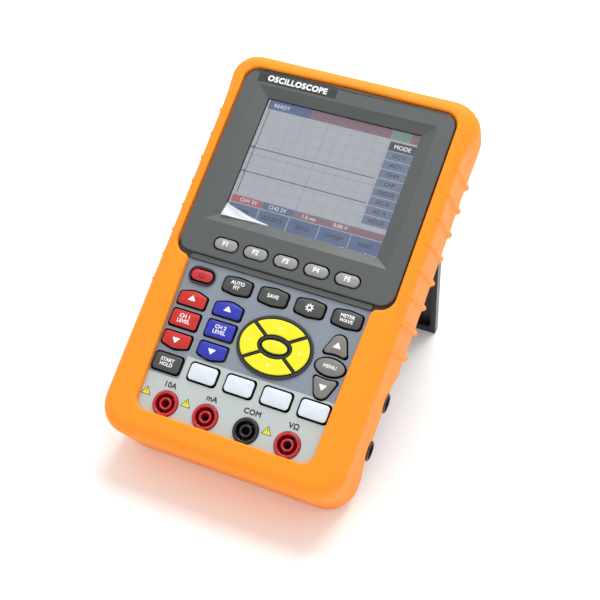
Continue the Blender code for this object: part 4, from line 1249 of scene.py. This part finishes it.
def keys():
    for name, (outline, middle, finish, top) in KEYS.items():
        cap = shift(domed_cap(name + "_cap", outline, top), *middle)
        key_legend(name, cap)
        settle(cap, finish, name, [name], 40)
        if finish != "key_grey":
            paint_walls(cap, top - CAP_EDGE)
    for quarter, name in enumerate(("right", "up", "left", "down")):
        cap = shift(pad_cap(f"key_pad_{name}_cap", quarter), *PAD_CENTRE)
        turn = Matrix.Rotation((quarter - 1) * math.pi / 2, 2)
        reach = Vector((0, 0.0087)) if quarter % 2 else Vector((0, 0.0118))
        arrow = [turn @ (Vector(point) + reach) for point in chevron(1, 0.0009, 0.0013)]
        outline = [tuple(point) for point in arrow]
        mark = flat_mark(f"key_pad_{name}_mark", [outline], KEY_TOP + 0.00002)
        print_on(shift(mark, *PAD_CENTRE), "legend_pale", f"key_pad_{name}")
        settle(cap, "key_yellow", f"key_pad_{name}", [f"key_pad_{name}"], 40)
        paint_walls(cap, KEY_TOP - PAD_DARK_BELOW)
    button = resized(ellipse(PAD_BUTTON), CAP_SHRINK)
    cap = shift(domed_cap("key_pad_centre_cap", button, KEY_TOP), *PAD_CENTRE)
    settle(cap, "key_yellow", "key_pad_centre", ["key_pad_centre"], 40)
    paint_walls(cap, KEY_TOP - PAD_DARK_BELOW)


# Jacks, connectors, ports and screws ---------------------------------------------------------------

def jacks():
    tube_top = JACK_TOP - 0.0004
    bottom = JACK_BOTTOM
    profile = [(0, bottom + 0.0012), (0.0018, bottom + 0.0012), (0.0018, tube_top), (0.0028, tube_top)]
    profile += [(0.0028, bottom + 0.0022), (0.0043, bottom + 0.0022), (0.0043, JACK_TOP)]
    profile += [(JACK_RADIUS, JACK_TOP), (JACK_RADIUS, bottom), (0, bottom)]
    deep = tube_top - 0.0055
    sleeve = [(0, bottom + 0.0014), (0.0013, bottom + 0.0014), (0.0013, deep), (0.00170, deep)]
    sleeve += [(0.00170, bottom + 0.0013), (0, bottom + 0.0013)]
    names = ("jack_ten_amp", "jack_milliamp", "jack_common", "jack_volt_ohm")
    for name, x in zip(names, jack_places()):
        finish = "jack_black" if name == "jack_common" else "jack_red"
        body = shift(turned(name + "_body", eased(profile, 0.0004)), x, JACK_Y)
        settle(body, finish, stands_for=[name])
        contact = shift(turned(name + "_contact", sleeve), x, JACK_Y)
        settle(contact, "contact")


def bnc_connectors():
    length = BNC_END - BNC_START
    well = length - 0.0080
    rim = BNC_RADIUS - 0.0009
    profile = [(0, well), (rim, well), (rim, length), (BNC_RADIUS, length), (BNC_RADIUS, 0), (0, 0)]
    pin = [(0, length - 0.0022), (0.0006, length - 0.0022), (0.0015, length - 0.0026)]
    pin += [(0.0015, well - 0.0003), (0, well - 0.0003)]
    for number, y in enumerate(BNC_Y):
        barrel = turned(f"bnc_barrel_{number + 1}", eased(profile, 0.0004))
        shift(barrel, BNC_START, y, BNC_Z, turn=ALONG_X)
        settle(barrel, "jack_black", stands_for=[f"bnc_channel_{number + 1}"])
        centre = shift(turned(f"bnc_pin_{number + 1}", pin), BNC_START, y, BNC_Z, turn=ALONG_X)
        settle(centre, "contact")


def side_ports():
    half = 0.0048
    shell = slab("dc_socket", [box_outline(half, half, 0.0006, (DC_JACK_Y, PORT_Z))], -0.0508, -0.0390)
    bore = [(0, -0.0400), (0.0031, -0.0400), (0.0031, -0.0520), (0, -0.0520)]
    carve(shell, shift(turned("dc_bore", bore), DC_JACK_Y, PORT_Z))
    chamfered(shell, 0.0002)
    settle(shift(shell, turn=SIDEWAYS), "jack_black", stands_for=["dc_jack"])
    post = [(0, -0.0480), (0.0009, -0.0480), (0.0009, -0.0402), (0, -0.0402)]
    pin = turned("dc_pin", eased(post, 0.0004), 24)
    settle(shift(shift(pin, DC_JACK_Y, PORT_Z), turn=SIDEWAYS), "steel")
    shell = slab("usb_shell", [box_outline(0.0040, 0.0020, 0.0007, (USB_Y, PORT_Z))], -0.0508, -0.0420)
    carve(shell, slab("usb_slot", [box_outline(0.0036, 0.0016, 0.0005, (USB_Y, PORT_Z))], -0.0520, -0.0450))
    settle(shift(shell, turn=SIDEWAYS), "steel", stands_for=["usb_port"])
    tongue = slab("usb_tongue", [box_outline(0.0026, 0.0004, 0.0001, (USB_Y, PORT_Z))], -0.0500, -0.0449)
    settle(shift(tongue, turn=SIDEWAYS), "jack_black")


def screw(name, head_radius, head_height, shank_radius, length, spot, z, node):
    """A pan-head screw with a cross recess; its head faces the back."""
    crown = [(head_radius * math.sin(a), -head_height * (1 - math.cos(a))) for a in (0, 0.35, 0.7, 1.05)]
    profile = crown + [(head_radius, -head_height * 0.7), (head_radius, -head_height)]
    profile += [(shank_radius, -head_height), (shank_radius, -length + 0.0010), (0, -length)]
    piece = turned(name, profile, 32)
    arm, half = head_radius * 0.55, head_radius * 0.13
    cross = [(-half, -arm), (half, -arm), (half, -half), (arm, -half), (arm, half), (half, half)]
    cross += [(half, arm), (-half, arm), (-half, half), (-arm, half), (-arm, -half), (-half, -half)]
    carve(piece, slab("recess", [cross], -head_height * 0.9, 0.001))
    piece.data.transform(Matrix.Rotation(math.pi, 4, "X"))
    settle(shift(piece, *spot, z), "steel", stands_for=[node])


def screws():
    for number, spot in enumerate(BOSSES):
        node = f"case_screw_{number + 1}"
        screw(f"case_fixing_{number + 1}", 0.0030, 0.0007, 0.0015, 0.0110, spot, 0.0030, node)
    for name, side in (("left", -1), ("right", 1)):
        spot = (side * DOOR_SCREW_X, SCREW_Y)
        node = f"door_screw_{name}"
        screw(f"door_fixing_{name}", 0.0022, 0.0006, 0.0012, 0.0056, spot, -0.0006, node)


# Display -----------------------------------------------------------------------------------------

def lit_shapes(name, boxes, finish, level):
    """Lit boxes on the picture, each (low x, low y, high x, high y) about the screen's middle."""
    outlines = [moved(rectangle(*box), (0, SCREEN_Y)) for box in boxes]
    base = PICTURE_TOP + 0.00001
    settle(slab(name, outlines, base, base + 0.00002 * level), finish)


def display():
    outline = rectangle(-0.0400, 0.1045, 0.0400, 0.1705)
    module = slab("display_module", [outline], 0.0305, PICTURE_TOP - 0.0002)
    settle(chamfered(module, 0.0002), "jack_black", stands_for=["lcd_module"])
    half_x, half_y = WINDOW_HALF[0] + 0.0010, WINDOW_HALF[1] + 0.0010
    screen = moved(rectangle(-half_x, -half_y, half_x, half_y), (0, SCREEN_Y))
    settle(slab("picture", [screen], PICTURE_TOP - 0.00015, PICTURE_TOP), "picture")
    left, right, low, high = PICTURE_LEFT, PICTURE_RIGHT, 0.0258, 0.0302
    lit_shapes("picture_bar_blue", [(left, low, -0.0150, high)], "lit_blue", 1)
    lit_shapes("picture_bar_mauve", [(-0.0149, low, 0.0240, high)], "lit_mauve", 1)
    lit_shapes("picture_bar_green", [(0.0241, low, 0.0330, high)], "lit_green", 1)
    lit_shapes("picture_bar_end", [(0.0331, low, right, high)], "lit_mauve", 1)
    lit_shapes("picture_header", [(MENU_LEFT, 0.0203, right, 0.0248)], "lit_dark", 1)
    rows = [(MENU_LEFT, 0.0158 - MENU_PITCH * row, right, 0.0200 - MENU_PITCH * row) for row in range(8)]
    lit_shapes("picture_side_menu", rows, "lit_pale_blue", 1)
    buttons = []
    for number in range(5):
        along = BUTTON_PITCH * number
        buttons.append((left + along, -0.0301, left + 0.0144 + along, -0.0228))
    lit_shapes("picture_low_menu", buttons, "lit_blue", 1)
    low, high = STATUS_LOW, STATUS_HIGH
    lit_shapes("picture_status_red", [(left, low, -0.0215, high)], "lit_red", 1)
    lit_shapes("picture_status_blue", [(-0.0214, low, -0.0060, high)], "lit_blue", 1)
    lit_shapes("picture_status_mauve", [(-0.0059, low, right, high)], "lit_mauve", 1)
    levels = [(-0.0355, y - 0.00020, 0.0236, y + 0.00020) for y in TRACE_HEIGHTS]
    lit_shapes("picture_traces", levels, "lit_dark", 2)
    lit_shapes("picture_frame_line", [(-0.03560, -0.0180, -0.03525, 0.0250)], "lit_dark", 3)
    marks = [(-0.0368, 0.0048, -0.0352, 0.0062), (-0.0368, -0.0075, -0.0352, -0.0061)]
    lit_shapes("picture_trace_marks", marks, "lit_blue", 4)
    picture_words()
    lens_x, lens_y = WINDOW_HALF[0] - GAP, WINDOW_HALF[1] - GAP
    outline = rectangle(-lens_x, SCREEN_Y - lens_y, lens_x, SCREEN_Y + lens_y)
    lens = slab("lens", [outline], LENS_TOP - 0.001, LENS_TOP)
    settle(lens, "screen_lens", stands_for=["screen_lens"], angle=0, even=False)


def picture_words():
    z = PICTURE_TOP + 0.00010
    for row, word in enumerate(("DC V", "AC V", "OHM", "CAP", "DIODE", "DC A", "AC A", "HOLD")):
        spot = (MENU_MIDDLE, SCREEN_Y + 0.0179 - MENU_PITCH * row)
        lettering(f"picture_side_word_{row + 1}", word, spot, 0.0026, "lit_dark", z, bold=0.00012)
    spot = (MENU_MIDDLE, SCREEN_Y + 0.0225)
    lettering("picture_header_word", "MODE", spot, 0.0028, "lit_white", z, bold=0.00012)
    for number, word in enumerate(("TYPE", "SOURCE", "EDGE", "SWEEP", "NEXT")):
        spot = (-0.0294 + BUTTON_PITCH * number, SCREEN_Y - 0.0262)
        lettering(f"picture_low_word_{number + 1}", word, spot, 0.0027, "lit_dark", z, bold=0.00012)
    status = (("CH1 2V", -0.0282), ("CH2 2V", -0.0140), ("1.0 ms", 0.0012), ("0.00 V", 0.0165))
    for number, (word, x) in enumerate(status):
        spot = (x, SCREEN_Y - 0.0207)
        lettering(f"picture_status_word_{number + 1}", word, spot, 0.0026, "lit_white", z)
    lettering("picture_bar_word", "READY", (-0.0300, SCREEN_Y + 0.0280), 0.0026, "lit_white", z)


def shipping_film():
    """A clear shipping film, lifting off the lens along the lower left edge of the window."""
    low_x, high_x = FILM_X
    bpy.ops.object.select_all(action="DESELECT")
    bpy.ops.mesh.primitive_grid_add(x_subdivisions=40, y_subdivisions=20, size=1)
    film = bpy.context.object
    film.name = "shipping_film"
    for vertex in film.data.vertices:
        u, v = vertex.co.x + 0.5, vertex.co.y + 0.5
        low_y = FILM_Y + 0.0012 * u
        height = FILM_WIDE * (1 - u) ** 1.3 + FILM_NARROW
        lift = FILM_LIFT * (1 - v) ** 1.5 * (1 - 0.7 * u)
        ripple = FILM_RIPPLE * math.sin(11 * u + 5 * v) * (1 - v)
        z = LENS_TOP + 0.0004 + lift + ripple
        vertex.co = (low_x + (high_x - low_x) * u, low_y + height * v, z)
    shift(film, y=SCREEN_Y)
    wall = film.modifiers.new("thickness", "SOLIDIFY")
    wall.thickness = FILM_THICKNESS
    take(film)
    bpy.ops.object.modifier_apply(modifier="thickness")
    settle(weld(film, 0.0000001), "shipping_film")


# Printing on the panel -----------------------------------------------------------------------------

def panel_print():
    z = PANEL_TOP + 0.00002
    places = jack_places()
    labels = (("10A", -0.0010), ("mA", 0.0), ("COM", 0.0), ("VΩ", 0.0))
    for number, ((word, offset), x) in enumerate(zip(labels, places)):
        spot = (x + offset, JACK_Y + 0.0082)
        lettering(f"jack_label_{number + 1}", word, spot, 0.0034, "legend_dark", z, bold=0.00020,
                  spacing=1.06)
    for number, x in enumerate((-0.0390, -0.0197, 0.0184)):
        spot = (x, JACK_Y + 0.0032)
        border = shift(flat_mark(f"mark_border_{number + 1}", [chevron(1, 0.0024, 0.0039)], z), *spot)
        print_on(border, "legend_dark")
        inner = flat_mark(f"mark_field_{number + 1}", [chevron(1, 0.0019, 0.0031)], z + 0.00004)
        shift(inner, spot[0], spot[1] - 0.00015)
        print_on(inner, "mark_yellow")
        stroke = [rectangle(-0.00017, -0.0003, 0.00017, 0.0007)]
        stroke.append(rectangle(-0.00017, -0.0009, 0.00017, -0.0006))
        bar = shift(flat_mark(f"mark_stroke_{number + 1}", stroke, z + 0.00008), *spot)
        print_on(bar, "legend_dark")
    low_x, low_y, high_x, high_y = NAMEPLATE
    middle = ((low_x + high_x) / 2, (low_y + high_y) / 2)
    strip = slab("nameplate", [rectangle(*NAMEPLATE)], BEZEL_TOP - 0.0001, BEZEL_TOP + 0.00012)
    settle(chamfered(strip, 0.00006), "nameplate")
    lettering("nameplate_word", "OSCILLOSCOPE", middle, 0.0039, "legend_white", BEZEL_TOP + 0.00014,
              bold=0.00032, spacing=1.10)


# Back --------------------------------------------------------------------------------------------

def hinge_lug(name, side):
    points = [(math.cos(math.pi * (1 + i / 16)), math.sin(math.pi * (1 + i / 16))) for i in range(17)]
    outline = [(HINGE.y + LUG_RADIUS * c, HINGE.z + LUG_RADIUS * s) for c, s in points]
    outline += [(HINGE.y + LUG_RADIUS, 0.0020), (HINGE.y - LUG_RADIUS, 0.0020)]
    low, high = sorted(side * x for x in LUG_X)
    return shift(slab(name, [outline], low, high), turn=SIDEWAYS)


def rear_case():
    case = slab("rear_shell", [case_outline(0)], REAR_LOW, PARTING)
    raised = box_outline(0.0436, 0.0746, 0.0076, (0, 0.0950), 12)
    carve(case, slab("back_pad", [raised], BACK_PAD, REAR_LOW + 0.001), "UNION")
    for side, name in ((-1, "lug_left"), (1, "lug_right")):
        carve(case, hinge_lug(name, side), "UNION")
    carve(case, slab("rear_pocket", [case_outline(-WALL)], REAR_LOW + WALL, PARTING + 0.001))
    recess = box_outline(DOOR_HALF, DOOR_HALF_LENGTH, 0.002, (0, SCREW_Y))
    carve(case, slab("door_recess", [recess], -0.001, DOOR_RECESS))
    opening = box_outline(DOOR_HALF - 0.006, DOOR_HALF_LENGTH - 0.003, 0.001, (0, SCREW_Y))
    carve(case, slab("battery_opening", [opening], 0, 0.006))
    bore = turned("hinge_bore", [(0, 0.055), (0.0016, 0.055), (0.0016, -0.055), (0, -0.055)], 24)
    carve(case, shift(bore, 0, HINGE.y, HINGE.z, turn=ALONG_X))
    for number, y in enumerate(BNC_Y):
        radius = BNC_RADIUS + GAP
        hole = turned(f"case_hole_{number}", [(0, 0.006), (radius, 0.006), (radius, -0.006), (0, -0.006)])
        carve(case, shift(hole, BNC_START + 0.0055, y, BNC_Z, turn=ALONG_X))
    ports = [box_outline(0.0053, 0.0053, 0.0006, (DC_JACK_Y, PORT_Z))]
    ports.append(box_outline(0.0046, 0.0026, 0.0006, (USB_Y, PORT_Z)))
    carve(case, shift(slab("port_holes", ports, -0.0530, -0.0480), turn=SIDEWAYS))
    for number, spot in enumerate(BOSSES):
        sink = [(0, 0.0080), (0.0018, 0.0080), (0.0018, 0.0038)]
        sink += [(0.0034, 0.0038), (0.0034, 0.0010), (0, 0.0010)]
        carve(case, shift(turned(f"screw_sink_{number}", sink, 32), *spot))
    for number, side in enumerate((-1, 1)):
        hole = turned(f"door_screw_hole_{number}", [(0, 0.006), (0.0015, 0.006), (0.0015, 0.0), (0, 0.0)], 24)
        carve(case, shift(hole, side * DOOR_SCREW_X, SCREW_Y))
    settle(chamfered(case, 0.0002), "case_plastic", stands_for=["rear_case"], angle=30)


def battery_door():
    outline = box_outline(DOOR_HALF - GAP, DOOR_HALF_LENGTH - GAP, 0.0018, (0, SCREW_Y))
    door = slab("battery_cover", [outline], BACK_PAD, DOOR_RECESS - GAP)
    holes = [moved(circle(0.0015, 24), (side * DOOR_SCREW_X, SCREW_Y)) for side in (-1, 1)]
    carve(door, slab("door_holes", holes, -0.001, 0.003))
    heights = [DOOR_Y[1] - 0.0060 - 0.0014 * row for row in range(5)]
    grips = [box_outline(0.0090, 0.00035, 0.0003, (0, y), 4) for y in heights]
    carve(door, slab("door_grips", grips, -0.001, BACK_PAD + 0.0003))
    chamfered(door, 0.00015)
    settle(door, "case_plastic", stands_for=["battery_door"], angle=30)


def kept_nodes():
    """Pieces whose shape is right stay; their edges are rounded a little and they get their finish."""
    looks = {"kickstand": "stand_plastic", "hinge_rod": "steel", "battery_pack": "battery_wrap",
             "main_board": "circuit_board", "keypad_board": "circuit_board", "keypad_mat": "key_mat",
             "shield_can": "steel", "buzzer": "jack_black"}
    for name, finish in looks.items():
        node = frame["nodes"][name]
        node.data.materials.clear()
        node.data.materials.append(FINISH[finish])
        weld_step = node.modifiers.new("weld", "WELD")
        weld_step.merge_threshold = 0.00001
        edges = node.modifiers.new("edges", "BEVEL")
        edges.width = 0.0004 if name == "kickstand" else 0.0002
        edges.segments = 2
        edges.limit_method = "ANGLE"
        edges.angle_limit = math.radians(40)


# Stage -------------------------------------------------------------------------------------------

def stage_floor():
    bpy.ops.object.select_all(action="DESELECT")
    bpy.ops.mesh.primitive_plane_add(size=8)
    floor = bpy.context.object
    floor.name = "studio_floor"
    pale = bpy.data.materials.new("studio_floor_look")
    pale.use_nodes = True
    shader = pale.node_tree.nodes["Principled BSDF"]
    shader.inputs["Base Color"].default_value = (0.90, 0.90, 0.90, 1)
    shader.inputs["Emission Color"].default_value = (1, 1, 1, 1)
    shader.inputs["Emission Strength"].default_value = 0.12
    shader.inputs["Roughness"].default_value = 0.7
    shader.inputs["Specular IOR Level"].default_value = 0.2
    floor.data.materials.append(pale)


def softbox(name, location, aim, size, power):
    lamp = bpy.data.lights.new(name, "AREA")
    lamp.shape = "RECTANGLE"
    lamp.size, lamp.size_y = size
    lamp.energy = power
    holder = bpy.data.objects.new(name, lamp)
    holder.location = location
    holder.rotation_euler = (Vector(aim) - Vector(location)).to_track_quat("-Z", "Y").to_euler()
    bpy.context.scene.collection.objects.link(holder)


def studio():
    world = bpy.data.worlds.new("studio")
    world.use_nodes = True
    world.node_tree.nodes["Background"].inputs["Color"].default_value = (1, 1, 1, 1)
    world.node_tree.nodes["Background"].inputs["Strength"].default_value = 0.81
    bpy.context.scene.world = world
    softbox("key_light", (0.05, 0.62, 1.35), (0, 0.06, 0.05), (0.9, 0.9), 17)
    bpy.context.scene.view_settings.view_transform = "Standard"


def camera():
    lens = bpy.data.cameras.new("camera")
    lens.lens = 64.175
    lens.sensor_width = 36
    lens.clip_start = 0.01
    holder = bpy.data.objects.new("camera", lens)
    holder.location = (0.139467, -0.309464, 0.353027)
    holder.rotation_euler = [math.radians(a) for a in (53.14234, -3.45790, 22.72085)]
    bpy.context.scene.collection.objects.link(holder)
    bpy.context.scene.camera = holder


bpy.ops.object.select_all(action="DESELECT")
camera()
studio()
stage_floor()
holster()
front_case()
keypad_panel()
trim_rings()
keys()
jacks()
bnc_connectors()
side_ports()
screws()
display()
shipping_film()
panel_print()
rear_case()
battery_door()
kept_nodes()
